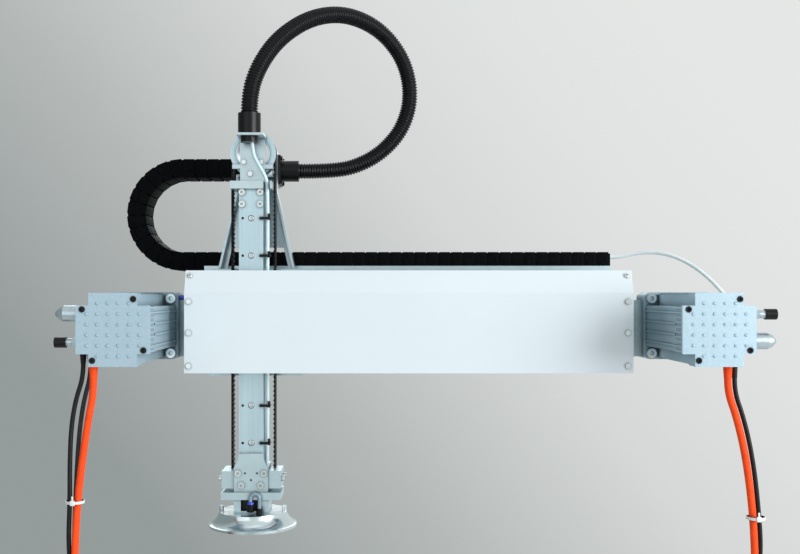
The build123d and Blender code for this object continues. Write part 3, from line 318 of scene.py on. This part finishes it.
def walk(path, step):
    """Points at equal steps along a path, each with its direction."""
    total = sum((b - a).length for a, b in zip(path, path[1:]))
    count = max(2, round(total / step))
    step = total / count
    placed, passed, i = [], 0.0, 0
    for k in range(count + 1):
        target = min(k * step, total - 1e-9)
        while i < len(path) - 2 and passed + (path[i + 1] - path[i]).length < target:
            passed += (path[i + 1] - path[i]).length
            i += 1
        leg = path[i + 1] - path[i]
        placed.append((path[i] + leg * ((target - passed) / leg.length), leg.normalized()))
    return placed


def ring_faces(rings, sides):
    """Sides and end caps of a closed skin over rings of vertices that follow one another."""
    faces = []
    for k in range(rings - 1):
        for j in range(sides):
            a, b = k * sides + j, k * sides + (j + 1) % sides
            faces.append((a, b, b + sides, a + sides))
    last = (rings - 1) * sides
    return faces + [tuple(reversed(range(sides))), tuple(range(last, last + sides))]


def tube(name, path, radius_of, step, sides, material):
    """A closed tube along a path. radius_of gives the radius at each step's number."""
    placed = walk(path, step)
    verts = []
    across = placed[0][1].orthogonal().normalized()
    for k, (centre, along) in enumerate(placed):
        across = (across - along * across.dot(along)).normalized()
        other = along.cross(across)
        radius = radius_of(k)
        for j in range(sides):
            turn = 2 * math.pi * j / sides
            verts.append(centre + (across * math.cos(turn) + other * math.sin(turn)) * radius)
    return mesh_piece(name, verts, ring_faces(len(placed), sides), material, sharp_angle=60)


def soften(work, verts, bevel):
    """Rounds the edges that meet at the given vertices."""
    if bevel <= 0:
        return
    edges = {e for v in verts for e in v.link_edges}
    bmesh.ops.bevel(work, geom=list(edges), offset=bevel, segments=2, profile=0.6,
                    affect="EDGES", clamp_overlap=True)


def box_into(work, low, high, bevel=0.0):
    """Adds a box between two corners, with softened edges."""
    made = bmesh.ops.create_cube(work, size=1.0)["verts"]
    for v in made:
        v.co = Vector([(low[i] + high[i]) / 2 + v.co[i] * (high[i] - low[i]) for i in range(3)])
    soften(work, made, bevel)


def prism_into(work, outline, low, high, bevel=0.0):
    """Adds a prism along Y from an outline in X and Z, with softened edges."""
    front = [work.verts.new((x, low, z)) for x, z in outline]
    back = [work.verts.new((x, high, z)) for x, z in outline]
    count = len(outline)
    work.faces.new(front)
    work.faces.new(list(reversed(back)))
    for i in range(count):
        j = (i + 1) % count
        work.faces.new((front[j], front[i], back[i], back[j]))
    soften(work, front + back, bevel)


def round_outline(centre_x, centre_z, radius, sides):
    turns = [2 * math.pi * i / sides for i in range(sides)]
    return [(centre_x + radius * math.cos(turn), centre_z + radius * math.sin(turn)) for turn in turns]


def piece_from(work, name, material, sharp_angle=35):
    """Ends a bmesh and links it as a piece, with its faces turned outwards."""
    bmesh.ops.recalc_face_normals(work, faces=work.faces)
    mesh = bpy.data.meshes.new(name)
    work.to_mesh(mesh)
    work.free()
    mesh.materials.append(material)
    shade_smooth(mesh, sharp_angle)
    return link_object(name, mesh)


# ---------------------------------------------------------------- cords

def metres(points):
    return [(x * MM, y * MM, z * MM) for x, y, z in points]


# Routes and plugs are in millimetres.
WHITE_ROUTE = metres([
    (231.5, -22, 77), (246, -22, 77), (268, -27, 82.5), (292, -36, 82), (313, -48, 73.5),
    (332, -62, 58), (347, -75, 39), (357.5, -87, 20), (359, -93, -1), (346, -94, -16.5),
    (325.5, -94, -16.5),
])
AIR_ROUTE = metres([
    (-170.0, -125, 196), (-170.0, -125, 185), (-162.5, -123.5, 171), (-154.4, -121.5, 157),
    (-154, -121.5, 138), (-153.8, -121.5, 110), (-154, -121.5, 60), (-153.8, -121.5, 5),
    (-154, -121.5, -50), (-153.8, -121.5, -92), (-154.7, -114.5, -115), (-155.7, -106, -136),
    (-155.7, -106, -153),
])
CONDUIT_ROUTE = metres([
    (-127.5, -22, 177.5), (-97, -22, 177.5), (-63, -19.5, 182), (-30, -17, 200), (-5, -15, 230),
    (4, -15, 268), (-5, -20, 308), (-32, -36, 339), (-70, -60, 351), (-108, -86, 341),
    (-142, -109, 313), (-163, -121, 280), (-173, -125, 249), (-173, -125, 227),
])
ORANGE_LEFT = [(-308, -243, -47), (-308, -243, -61), (-312.5, -243, -84), (-316.8, -243, -112),
               (-321, -243, -144), (-324, -243, -176), (-325.6, -243, -209), (-326, -243, -235),
               (-326, -243, -258)]
ORANGE_RIGHT = [(298.5, -243, -47), (298.5, -243, -60), (306.3, -243, -82), (313.5, -243, -111),
                (318.7, -243, -143), (322.3, -243, -176), (324.2, -243, -209), (324.5, -243, -235),
                (324.3, -243, -258)]
BLACK_LEFT = [(-318.6, -240, -33), (-318.6, -240, -46), (-325.6, -240.7, -67), (-329.8, -241.5, -94),
              (-330.8, -242.5, -128), (-330.6, -243, -165), (-332, -243, -200), (-331, -240, -231),
              (-327.8, -237.3, -258)]
GREY_LEFT = [(-313.3, -233.5, -33), (-313.3, -233.5, -46), (-319.5, -234.2, -68), (-323.3, -235.5, -96),
             (-325.4, -236.5, -129), (-326.8, -237, -165), (-328.3, -236.6, -200), (-328.4, -234.6, -231),
             (-327.6, -232.5, -258)]
BLACK_RIGHT = [(305.3, -242, -47), (305.3, -242, -60), (313.2, -242, -82), (320.1, -242, -110),
               (325.2, -242, -142), (328.5, -242, -176), (330.5, -242, -206), (329.6, -239.6, -233),
               (326.2, -237.3, -258)]
COIL_LEFT, COIL_RIGHT, COIL_Z = -277.0, 275.5, -289.0
POINTS_PER_TURN = 14
SPLINE_CUT = 1.013                  # a coil's control points stand this much outside its turns
PLUG_REACH = 40                     # from a coil's centre to the cord's end
POWER_PLUG_Y, POWER_PLUG_R, POWER_PLUG_LENGTH = -264.5, 10.4, 46
SIGNAL_PLUG_Y, SIGNAL_PLUG_R, SIGNAL_PLUG_LENGTH = -261.2, 7.1, 36
SIGNAL_PLUG_TIP = 39


def wound(centre_x, side, stages):
    """Control points of a coil's turns. side -1 starts at the ring's left, 1 at its right, both downwards.
    Each stage is (turns, radius at its end, depth at its end), after a first entry that gives the start."""
    points = []
    _, radius, depth = stages[0]
    turned = 0.0
    for turns, to_radius, to_depth in stages[1:]:
        count = max(2, round(turns * POINTS_PER_TURN))
        for k in range(count):
            share = (k + 1) / count
            angle = 2 * math.pi * (turned + turns * share)
            r = (radius + (to_radius - radius) * share) * SPLINE_CUT
            y = depth + (to_depth - depth) * share
            points.append((centre_x + side * r * math.cos(angle), y, COIL_Z - r * math.sin(angle)))
        turned += turns
        radius, depth = to_radius, to_depth
    return points


# The power cable winds in, steps forward and winds out again, to a plug at the ring's side.
POWER_STAGES = [(0, 49, -243), (2.6, 30.5, -243), (0.4, 30.5, -250.3), (1.75, 43, -250.3),
                (0.25, PLUG_REACH, POWER_PLUG_Y)]


def power_cord(route, centre_x, side):
    turns = wound(centre_x, side, POWER_STAGES)[:-1]
    return metres(route + turns + [(centre_x + side * PLUG_REACH, POWER_PLUG_Y, COIL_Z)])


def signal_cord(route, centre_x, side, depth, extra):
    """A thin cable winds inwards in one layer, comes forward through the ring and ends at a plug in front.
    The extra turns bring the end to another side of the ring."""
    inside = 23
    stages = [(0, 50.3, depth), (3.75 + extra, 32.5 - 4.7 * extra, depth), (0.25, inside, depth + 1),
              (0.75, inside, -261), (0.25, 31, SIGNAL_PLUG_Y), (0.25, PLUG_REACH, SIGNAL_PLUG_Y)]
    return metres(route + wound(centre_x, side, stages))


orange_left = cord_curve("orange_cord_left", power_cord(ORANGE_LEFT, COIL_LEFT, -1), POWER_D,
                         MATERIALS["orange"])
orange_right = cord_curve("orange_cord_right", power_cord(ORANGE_RIGHT, COIL_RIGHT, 1), POWER_D,
                          MATERIALS["orange"])
black_left = cord_curve("black_cord_left", signal_cord(BLACK_LEFT, COIL_LEFT, -1, -237.2, 0),
                        SIGNAL_D, MATERIALS["black"])
black_right = cord_curve("black_cord_right", signal_cord(BLACK_RIGHT, COIL_RIGHT, 1, -237.2, 0),
                         SIGNAL_D, MATERIALS["black"])
grey_left = cord_curve("grey_cord_left", signal_cord(GREY_LEFT, COIL_LEFT, -1, -232.4, 0.25),
                       SIGNAL_D, MATERIALS["grey"])
white_cord = cord_curve("white_cord", WHITE_ROUTE, WHITE_D, MATERIALS["white"])
air_tube = cord_curve("air_tube_bent", AIR_ROUTE, AIR_D, MATERIALS["pale"])

RIB_PITCH = 0.0031
RIB_PROFILE = (0.0, 0.0, -0.00095, -0.00125, -0.00095)      # below the outer radius, over one pitch


def rib_radius(k):
    return CONDUIT_D / 2 + RIB_PROFILE[k % len(RIB_PROFILE)]


conduit_path = curve_points("conduit_line", CONDUIT_ROUTE)
conduit = tube("conduit_ribbed", conduit_path, rib_radius, RIB_PITCH / len(RIB_PROFILE), 28,
               MATERIALS["conduit"])


# ---------------------------------------------------------------- plugs on the cables' far ends

def plug_into(work, radius, length, place):
    """A round connector along local Z: knurled ring, neck, body, and a stepped grommet where the cord enters.
    Each step is (start, end, radius, depth of its ridges) as shares of the length and radius."""
    sides = 48
    for start, end, share, ridge in ((0, 0.42, 0.99, 0.05), (0.42, 0.48, 0.86, 0), (0.48, 0.84, 0.94, 0),
                                     (0.84, 0.93, 0.74, 0), (0.93, 1, 0.55, 0)):
        outline = []
        for i in range(sides):
            turn = 2 * math.pi * i / sides
            reach = radius * share * (1 - ridge * (i % 2))
            outline.append((reach * math.cos(turn), reach * math.sin(turn)))
        low = [work.verts.new(place @ Vector((x, y, length * start))) for x, y in outline]
        high = [work.verts.new(place @ Vector((x, y, length * end))) for x, y in outline]
        work.faces.new(list(reversed(low)))
        work.faces.new(high)
        for i in range(sides):
            j = (i + 1) % sides
            work.faces.new((low[i], low[j], high[j], high[i]))


def connector(name, radius, length, place):
    work = bmesh.new()
    plug_into(work, radius * MM, length * MM, place)
    piece = piece_from(work, name, MATERIALS["nickel"], 30)
    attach(piece, "frame")
    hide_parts("cable_plugs")
    return piece


def power_connector(name, centre_x, side):
    """Hangs below the ring's side, with its grommet up."""
    base = Vector((centre_x + side * PLUG_REACH, POWER_PLUG_Y, COIL_Z - POWER_PLUG_LENGTH)) * MM
    return connector(name, POWER_PLUG_R, POWER_PLUG_LENGTH, Matrix.Translation(base))


def signal_connector(name, centre_x, side):
    """Lies level below the ring's centre."""
    tip = Vector((centre_x - side * SIGNAL_PLUG_TIP, SIGNAL_PLUG_Y, COIL_Z - PLUG_REACH)) * MM
    turn = Matrix.Rotation(side * math.radians(90), 4, "Y")
    return connector(name, SIGNAL_PLUG_R, SIGNAL_PLUG_LENGTH, Matrix.Translation(tip) @ turn)


def rising_connector(name, centre_x):
    """Stands up beside the ring, with its grommet down."""
    tip = Vector((centre_x + PLUG_REACH, SIGNAL_PLUG_Y, COIL_Z + SIGNAL_PLUG_TIP)) * MM
    turn = Matrix.Rotation(math.pi, 4, "X")
    return connector(name, SIGNAL_PLUG_R, SIGNAL_PLUG_LENGTH, Matrix.Translation(tip) @ turn)


for cord, cad, coil, slot, size, route, plug in (
    (orange_left, "orange_cable_left", "cable_coil_left", "orange_jacket", POWER_D, ORANGE_LEFT,
     power_connector("power_plug_left", COIL_LEFT, -1)),
    (orange_right, "orange_cable_right", "cable_coil_right", "orange_jacket", POWER_D, ORANGE_RIGHT,
     power_connector("power_plug_right", COIL_RIGHT, 1)),
    (black_left, "black_cable_left", "cable_coil_left", "black_jacket", SIGNAL_D, BLACK_LEFT,
     signal_connector("signal_plug_left", COIL_LEFT, -1)),
    (black_right, "black_cable_right", "cable_coil_right", "black_jacket", SIGNAL_D, BLACK_RIGHT,
     signal_connector("signal_plug_right", COIL_RIGHT, 1)),
    (grey_left, "grey_cable_left", "cable_coil_left", "grey_jacket", SIGNAL_D, GREY_LEFT,
     rising_connector("signal_plug_grey", COIL_LEFT)),
):
    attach(cord, "frame")
    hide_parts(cad, coil)

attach(white_cord, "frame")
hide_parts("white_cable")

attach(air_tube, "upright")
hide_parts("air_tube")

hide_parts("conduit")
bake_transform(conduit)


# ---------------------------------------------------------------- strain reliefs and bundle ties

def turned_piece(name, profile, start, direction, material):
    """A turned piece in millimetres, closed at both ends. The profile is (distance along, radius)."""
    sides = 40
    along = Vector(direction).normalized()
    across = along.orthogonal().normalized()
    other = along.cross(across)
    verts = []
    for distance, radius in profile:
        for j in range(sides):
            turn = 2 * math.pi * j / sides
            ray = across * math.cos(turn) + other * math.sin(turn)
            verts.append((Vector(start) + along * distance + ray * radius) * MM)
    return mesh_piece(name, verts, ring_faces(len(profile), sides), material, sharp_angle=50)


def boot_profile(length, wide, narrow):
    """A tapered boot with shallow grooves round it."""
    steps, groove = 12, 0.22
    return [(length * i / steps, wide + (narrow - wide) * i / steps - (groove if i % 3 == 2 else 0.0))
            for i in range(steps + 1)]


def add_boots():
    """Boots at the cable outlets: name, place, length, widest and narrowest radius, finish and slot."""
    down = (0, 0, -1)
    for name, start, length, wide, narrow, key, slot in (
        ("orange_boot_left", (-308, -243, -35.2), 11.6, 4.5, 3.7, "orange", "orange_jacket"),
        ("orange_boot_right", (298.5, -243, -35.2), 11.6, 4.5, 3.7, "orange", "orange_jacket"),
        ("black_boot_right", (305.3, -242, -35.2), 11.6, 3.0, 2.5, "black", "black_jacket"),
        ("black_boot_left", (-318.6, -240, -22.4), 10.4, 3.3, 2.5, "black", "black_jacket"),
        ("grey_boot_left", (-313.3, -233.5, -22.4), 10.4, 3.3, 2.5, "grey", "grey_jacket"),
        ("white_boot", (322.9, -94, -16.5), 2.5, 4.4, 2.9, "white", "white_jacket"),
    ):
        direction = (1, 0, 0) if name == "white_boot" else down
        boot = turned_piece(name, boot_profile(length, wide, narrow), start, direction, MATERIALS[key])
        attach(boot, "frame")
        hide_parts("cable_glands")


def add_ties():
    """A strap, its square lock and its cut end round each bundle."""
    width = 2.6 * MM
    for name, x, y, z in (("bundle_tie_left", -326.3, -240.7, -165),
                          ("bundle_tie_right", 325.4, -242.5, -180)):
        work = bmesh.new()
        for radius in (9.0 * MM, 8.3 * MM):
            bmesh.ops.create_cone(work, cap_ends=False, segments=48, radius1=radius, radius2=radius,
                                  depth=width)
        rims = [e for e in work.edges if e.is_boundary]
        for side in (-1, 1):
            level = [e for e in rims if all(v.co.z * side > 0 for v in e.verts)]
            bmesh.ops.bridge_loops(work, edges=level)
        lock = ((-2.2, -9.9, -2.4), (2.2, -7.9, 2.4))
        cut_end = ((-0.9, -9.5, 2.0), (0.9, -8.6, 6.5))
        box_into(work, *metres(lock), 0.0004)
        box_into(work, *metres(cut_end), 0.0002)
        bmesh.ops.translate(work, verts=work.verts, vec=Vector((x, y, z)) * MM)
        tie = piece_from(work, name, MATERIALS["tie"])
        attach(tie, "frame")
        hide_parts("cable_glands")


add_boots()
add_ties()


# ---------------------------------------------------------------- gripper valve

def add_valve():
    """Valve block with its blue-collared fitting and a short bowed tube to the socket beside it."""
    x, y = -171.0, -133.0
    spacing, base, up = 9.5, -197.2, (0, 0, 1)
    body = bmesh.new()
    block_box = ((x - 10.4, -123, base), (x + 6.5, -96.2, -185.6))
    neck_box = ((x - 4, -131, base), (x + 4, -123, -190.5))
    foot_box = ((x + 6.6, -133, -200), (x + 12.4, -127.1, -195))
    for corners in (block_box, neck_box, foot_box):
        box_into(body, *metres(corners), 0.0006)
    for z in (-195.0, -193.0, -191.0, -189.0, -187.0):
        box_into(body, *metres(((x - 10.0, -123.25, z), (x + 6.1, -122.9, z + 0.7))))
    block = piece_from(body, "valve_block", MATERIALS["plastic"])
    stem = turned_piece("valve_stem", ((0, 3.5), (0.4, 3.9), (8.2, 3.9)), (x, y, base), up,
                        MATERIALS["plastic"])
    collar = turned_piece("valve_collar", ((0, 3.5), (1.6, 3.3), (2.2, 3.0), (2.4, 2.1)), (x, y, -189), up,
                          MATERIALS["blue"])
    socket = turned_piece("valve_socket", ((0, 3.2), (0.4, 3.4), (6.0, 3.4), (6.5, 2.2)),
                          (x + spacing, y, -200), up, MATERIALS["plastic"])
    bow_r, bow_z, steps = spacing / 2, -183, 24
    rise = [Vector((x, y, -188.8)), Vector((x, y, bow_z))]
    bow = []
    for i in range(1, steps + 1):
        turn = math.pi * i / steps
        bow.append(Vector((x + bow_r - bow_r * math.cos(turn), y, bow_z + bow_r * math.sin(turn))))
    route = [p * MM for p in rise + bow + [Vector((x + spacing, y, -193.6))]]
    jumper = tube("valve_jumper", route, lambda k: 0.0019, 0.0007, 20, MATERIALS["clear"])
    for piece, slot in ((block, "fitting_plastic"), (stem, "fitting_plastic"), (socket, "fitting_plastic"),
                        (collar, "blue_tube"), (jumper, "pale_tube")):
        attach(piece, "upright")
        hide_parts("gripper_valve")


add_valve()


def add_rail_screws():
    """The socket screws in the upright's counterbores, which hold the rail behind it."""
    head = ((0, 3.1), (0.65, 3.1), (0.9, 2.85), (0.9, 1.6), (0.25, 1.45))
    seat_y, top_z, pitch = -124.78, 115, 40
    for i in range(7):
        screw = turned_piece(f"rail_screw_{i + 1}", head, (-171, seat_y, top_z - pitch * i), (0, -1, 0),
                             MATERIALS["bright"])
        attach(screw, "upright")


add_rail_screws()


def add_strip_screws():
    """Button screws at the two ends of the cover's leaning top strip, most of the way up it."""
    foot_y, foot_z, rise, lean = -168.0, 35.4, 23.1, 9.5
    share = 0.76
    outward = Vector((0, -rise, lean)).normalized()
    head = ((0, 2.7), (0.8, 2.6), (1.5, 1.9), (1.5, 1.1), (0.9, 1.0))
    for name, x in (("strip_screw_left", -230.4), ("strip_screw_right", 221.2)):
        place = (x, foot_y + lean * share, foot_z + rise * share)
        screw = turned_piece(name, head, place, outward, MATERIALS["bright"])
        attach(screw, "frame")


add_strip_screws()


# ---------------------------------------------------------------- energy chain

LINK_GAP, LINK_CORNER = 0.00018, 0.0009
DISC_SHARE = 0.93
BOSS_X, BOSS_R = 0.0052, 0.0022
RIB_START, RIB_END, RIB_HALF = 0.0022, 0.0034, 0.0052
BAR_INSET, BAR_THICK = 0.0016, 0.0024
# How far each part of a link's side lies below the chain's side face, from its outside to its inside.
PLATE_LAYER, DISC_LAYER = (0.0003, 0.0016), (0.0017, 0.0034)
BOSS_LAYER, RIB_LAYER = (0.0001, 0.0010), (0.0, 0.0008)


def link_into(work, matrix, tongued=True):
    """One chain link along local X: side plates lapped over hinge discs, and a bar above and below."""
    pieces = bmesh.new()
    high, half = CHAIN_HALF_HEIGHT, LINK / 2
    mid = (CHAIN_FRONT + CHAIN_REAR) / 2
    depth = (CHAIN_REAR - CHAIN_FRONT) / 2
    end, corner = half - LINK_GAP, LINK_CORNER
    plate = [(-end, -high + corner), (-end + corner, -high), (end - corner, -high), (end, -high + corner),
             (end, high - corner), (end - corner, high), (-end + corner, high), (-end, high - corner)]
    reach = half - 0.0002 if tongued else 0.0
    disc = round_outline(reach, 0, (high if tongued else half) * DISC_SHARE, 30)
    boss = round_outline(-half + BOSS_X, 0, BOSS_R, 16)
    rib = [(RIB_START, -RIB_HALF), (RIB_END, -RIB_HALF), (RIB_END, RIB_HALF), (RIB_START, RIB_HALF)]
    for side in (-1, 1):
        outer = mid + side * depth
        for outline, layer, bevel in ((plate, PLATE_LAYER, 0.00025), (disc, DISC_LAYER, 0.0002),
                                      (boss, BOSS_LAYER, 0.0001), (rib, RIB_LAYER, 0.0001)):
            prism_into(pieces, outline, *sorted(outer - side * below for below in layer), bevel=bevel)
    for low_z in (-high + 0.0002, high - 0.0002 - BAR_THICK):
        box_into(pieces, (-half + BAR_INSET, mid - depth + BAR_INSET, low_z),
                 (half - 0.0022, mid + depth - BAR_INSET, low_z + BAR_THICK), 0.0004)
    template = bpy.data.meshes.new("link_template")
    bmesh.ops.transform(pieces, matrix=matrix, verts=pieces.verts)
    pieces.to_mesh(template)
    pieces.free()
    work.from_mesh(template)
    bpy.data.meshes.remove(template)


def straight_chain(name, first_x, centre_z, count, flip=False, closed=False):
    """A level row of links. The last link of a closed row has no disc beyond its plate."""
    work = bmesh.new()
    turn = Matrix.Rotation(math.pi, 4, "Y") if flip else Matrix.Identity(4)
    for i in range(count):
        place = Matrix.Translation(Vector((first_x + (i + 0.5) * LINK, 0, centre_z)))
        link_into(work, place @ turn, tongued=not (closed and i == count - 1))
    return piece_from(work, name, MATERIALS["chain"])


def bent_chain(name):
    """The half turn of links, from the upper run down to the lower one."""
    work = bmesh.new()
    for i in range(LINKS_IN_BEND):
        angle = math.radians(90 + (i + 0.5) * 180 / LINKS_IN_BEND)
        centre = Vector((BEND_X + CHAIN_R * math.cos(angle), 0, BEND_Z + CHAIN_R * math.sin(angle)))
        turn = Matrix.Rotation(-(angle - math.radians(90)), 4, "Y") @ Matrix.Rotation(math.pi, 4, "Y")
        link_into(work, Matrix.Translation(centre) @ turn, tongued=i < LINKS_IN_BEND - 1)
    return piece_from(work, name, MATERIALS["chain"])


chain_upper = straight_chain("chain_links_upper", BEND_X, BEND_Z + CHAIN_R, UPPER_LINKS, flip=True)
chain_bend = bent_chain("chain_links_bend")
chain_moving = straight_chain("chain_links_lower", BEND_X, BEND_Z - CHAIN_R, MOVING_LINKS)
chain_fixed = straight_chain("chain_links_fixed", BEND_X + MOVING_LINKS * LINK, BEND_Z - CHAIN_R,
                             FIXED_LINKS, closed=True)


def end_comb():
    """Comb plate and light pins at the chain's fixed end."""
    work = bmesh.new()
    end = BEND_X + (MOVING_LINKS + FIXED_LINKS) * LINK
    low = BEND_Z - CHAIN_R
    inset = 0.002
    box_into(work, (end - 0.0006, CHAIN_FRONT + inset, low - 0.005),
             (end + 0.0020, CHAIN_REAR - inset, low + 0.009), 0.0004)
    piece = piece_from(work, "chain_end_comb", MATERIALS["chain"])
    pins = bmesh.new()
    pin_r = 0.0012
    for dx in (0.0032, 0.0092):
        outline = round_outline(end - dx, low - 0.006, pin_r, 16)
        prism_into(pins, outline, CHAIN_FRONT - pin_r, CHAIN_FRONT + 0.001)
    return piece, piece_from(pins, "chain_end_pins", MATERIALS["bright"])


comb, comb_pins = end_comb()
for piece, body, cad in (
    (chain_upper, None, "chain_upper_run"),
    (chain_bend, "chain_loop", "chain_bend"),
    (chain_moving, "frame", "chain_lower_moving"),
    (chain_fixed, "frame", "chain_lower_fixed"),
    (comb, "frame", "chain_lower_fixed"),
    (comb_pins, "frame", "chain_lower_fixed"),
):
    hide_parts(cad)
    if body:
        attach(piece, body)
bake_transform(chain_upper)
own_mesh(chain_moving)


# ---------------------------------------------------------------- toothed belt

TOOTH_PITCH, TOOTH_DEPTH = 0.005, 0.0009
# One tooth as (share of the pitch, level): teeth stand at level 0, gaps are one tooth's depth behind it.
TOOTH = ((0.0, TOOTH_DEPTH), (0.28, TOOTH_DEPTH), (0.40, 0.0), (0.60, 0.0), (0.72, TOOTH_DEPTH))


def belt_run(name, start, end, outward):
    """A straight toothed run from start to end in X and Z; teeth point against outward."""
    a, b, out = (Vector((x, 0, z)) for x, z in (start, end, outward))
    along, length = (b - a).normalized(), (b - a).length
    count = max(1, round(length / TOOTH_PITCH))
    pitch = length / count
    profile = [(i * pitch + share * pitch, level) for i in range(count) for share, level in TOOTH]
    profile.append((length, TOOTH_DEPTH))
    verts, faces = [], []
    for distance, level in profile:
        inner = a + along * distance + out * level
        outer = a + along * distance + out * BELT_THICK
        for y in (BELT_FRONT, BELT_REAR):
            verts.append((inner.x, y, inner.z))
        for y in (BELT_FRONT, BELT_REAR):
            verts.append((outer.x, y, outer.z))
    for i in range(len(profile) - 1):
        k, n = 4 * i, 4 * i + 4
        faces += [(k, n, n + 1, k + 1), (k + 2, k + 3, n + 3, n + 2),
                  (k, k + 2, n + 2, n), (k + 1, n + 1, n + 3, k + 3)]
    last = 4 * (len(profile) - 1)
    faces += [(0, 1, 3, 2), (last, last + 2, last + 3, last + 1)]
    piece = mesh_piece(name, verts, faces, MATERIALS["belt"])
    work = bmesh.new()
    work.from_mesh(piece.data)
    bmesh.ops.recalc_face_normals(work, faces=work.faces)
    work.to_mesh(piece.data)
    work.free()
    return piece


for sign, tag in ((1, "upper"), (-1, "lower")):
    level = sign * DRIVE_R
    for side, x0, x1 in (("left", -MOTOR_X, AXIS_X - IDLER_DX), ("right", MOTOR_X, AXIS_X + IDLER_DX)):
        run_piece = belt_run(f"belt_{tag}_{side}", (x0, level), (x1, level), (0, sign))
        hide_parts("belt_level_runs")
        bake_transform(run_piece)
for side, tag in ((-1, "left"), (1, "right")):
    x = AXIS_X + side * TOP_R
    for name, z0, z1 in (("rising", IDLER_Z, PULLEY_Z), ("hanging", -IDLER_Z, CLAMP_TOP)):
        run_piece = belt_run(f"belt_{name}_{tag}", (x, z0), (x, z1), (side, 0))
        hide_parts("belt_upright_runs")
        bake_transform(run_piece)


# ---------------------------------------------------------------- finishes of the carried-over parts

FINISH_OF = {
    "beam": ["y_beam", "drive_pulley_left", "drive_pulley_right"],
    "upright": ["z_beam", "top_pulley", "idler_upper_left", "idler_upper_right", "idler_lower_left",
                "idler_lower_right"],
    "plate": ["carriage_plate", "foot_block", "gripper_mount", "belt_clamps"],
    "cast": ["motor_body_left", "motor_body_right", "motor_flanges"],
    "cast_tail": ["motor_rear_covers"],
    "head": ["drive_head_left", "drive_head_right"],
    "cover": ["cover_front"],
    "sheet": ["cover_end_plates", "chain_tray", "chain_bracket", "top_bracket"],
    "rail": ["y_rails", "z_rail", "guide_blocks"],
    "bright": ["frame_screws", "idler_axles", "z_screws"],
    "black_steel": ["rear_cover_screws"],
    "fitting": ["port_fittings"],
    "plastic": ["service_caps", "conduit_fitting_lower", "conduit_fitting_upper", "tube_ties"],
    "belt": ["belt_drive_wraps", "belt_idler_wraps", "belt_top_wrap"],
    "blue": ["blue_tube"],
    "dish": ["gripper_dish"],
}
for key, names in FINISH_OF.items():
    for name in names:
        slots = NODES[name].material_slots
        for place in slots:
            place.material = MATERIALS[key]
        if not slots:
            NODES[name].data.materials.append(MATERIALS[key])


# ---------------------------------------------------------------- studio

def area_light(name, place, aim, size, power):
    lamp = bpy.data.lights.new(name, "AREA")
    lamp.shape = "RECTANGLE"
    lamp.size, lamp.size_y = size
    lamp.energy = power
    holder = link_object(name, lamp)
    holder.location = place
    holder.rotation_euler = (Vector(aim) - Vector(place)).to_track_quat("-Z", "Y").to_euler()


MIDDLE = (0, -0.1, 0)
area_light("key_light", (2.0, -1.7, 0.4), MIDDLE, (1.5, 1.5), 58)
area_light("fill_light", (-1.2, -2.2, 0.2), MIDDLE, (1.8, 1.8), 8)
area_light("top_light", (0.2, -0.2, 1.9), MIDDLE, (1.8, 1.2), 2)
area_light("back_light", (-0.4, 1.8, 1.0), (0, 0, 0), (1.6, 1.2), 12)


# The backdrop's colours from its dark side to its light side, each at its share of the way.
SKY = ((0.044, (0.30, 0.335, 0.33)), (0.311, (0.46, 0.485, 0.48)), (0.578, (0.665, 0.685, 0.675)),
       (0.778, (0.745, 0.765, 0.755)), (0.978, (0.785, 0.80, 0.79)))


def make_world():
    """Pale grey surroundings, lighter towards the right and the top, as in a studio."""
    world = bpy.data.worlds.new("studio")
    bpy.context.scene.world = world
    world.use_nodes = True
    tree = world.node_tree
    background = tree.nodes["Background"]
    coords = add(tree, "ShaderNodeTexCoord")
    split = add(tree, "ShaderNodeSeparateXYZ")
    tree.links.new(coords.outputs["Generated"], split.inputs["Vector"])
    height = add(tree, "ShaderNodeMath", operation="MULTIPLY_ADD")
    height.inputs[1].default_value = 0.8
    tree.links.new(split.outputs["Z"], height.inputs[0])
    tree.links.new(split.outputs["X"], height.inputs[2])
    ramp = add(tree, "ShaderNodeValToRGB")
    stops = ramp.color_ramp.elements
    while len(stops) < len(SKY):
        stops.new(0.5)
    for stop, (place, colour) in zip(stops, SKY):
        stop.position = place
        stop.color = (*colour, 1)
    tree.links.new(spread(tree, height.outputs["Value"], 0.0, 1.0, -0.4, 0.5), ramp.inputs["Fac"])
    tree.links.new(ramp.outputs["Color"], background.inputs["Color"])


make_world()


def make_floor():
    """A pale round floor well below the object, fading out at its edge."""
    material, tree, shader = new_material("pale_floor")
    coords = add(tree, "ShaderNodeTexCoord")
    length = add(tree, "ShaderNodeVectorMath", operation="LENGTH")
    tree.links.new(coords.outputs["Object"], length.inputs[0])
    shader.inputs["Base Color"].default_value = (0.62, 0.62, 0.61, 1)
    shader.inputs["Roughness"].default_value = 0.8
    tree.links.new(spread(tree, length.outputs["Value"], 1.0, 0.0, 0.9, 1.5), shader.inputs["Alpha"])
    radius, sides = 1.6, 64
    rim = [(x, y, 0) for x, y in round_outline(0, 0, radius, sides)]
    floor = mesh_piece("floor", rim, [tuple(range(sides))], material)
    floor.location = (0, -0.12, -0.62)


make_floor()
bpy.context.scene.view_settings.view_transform = "Standard"
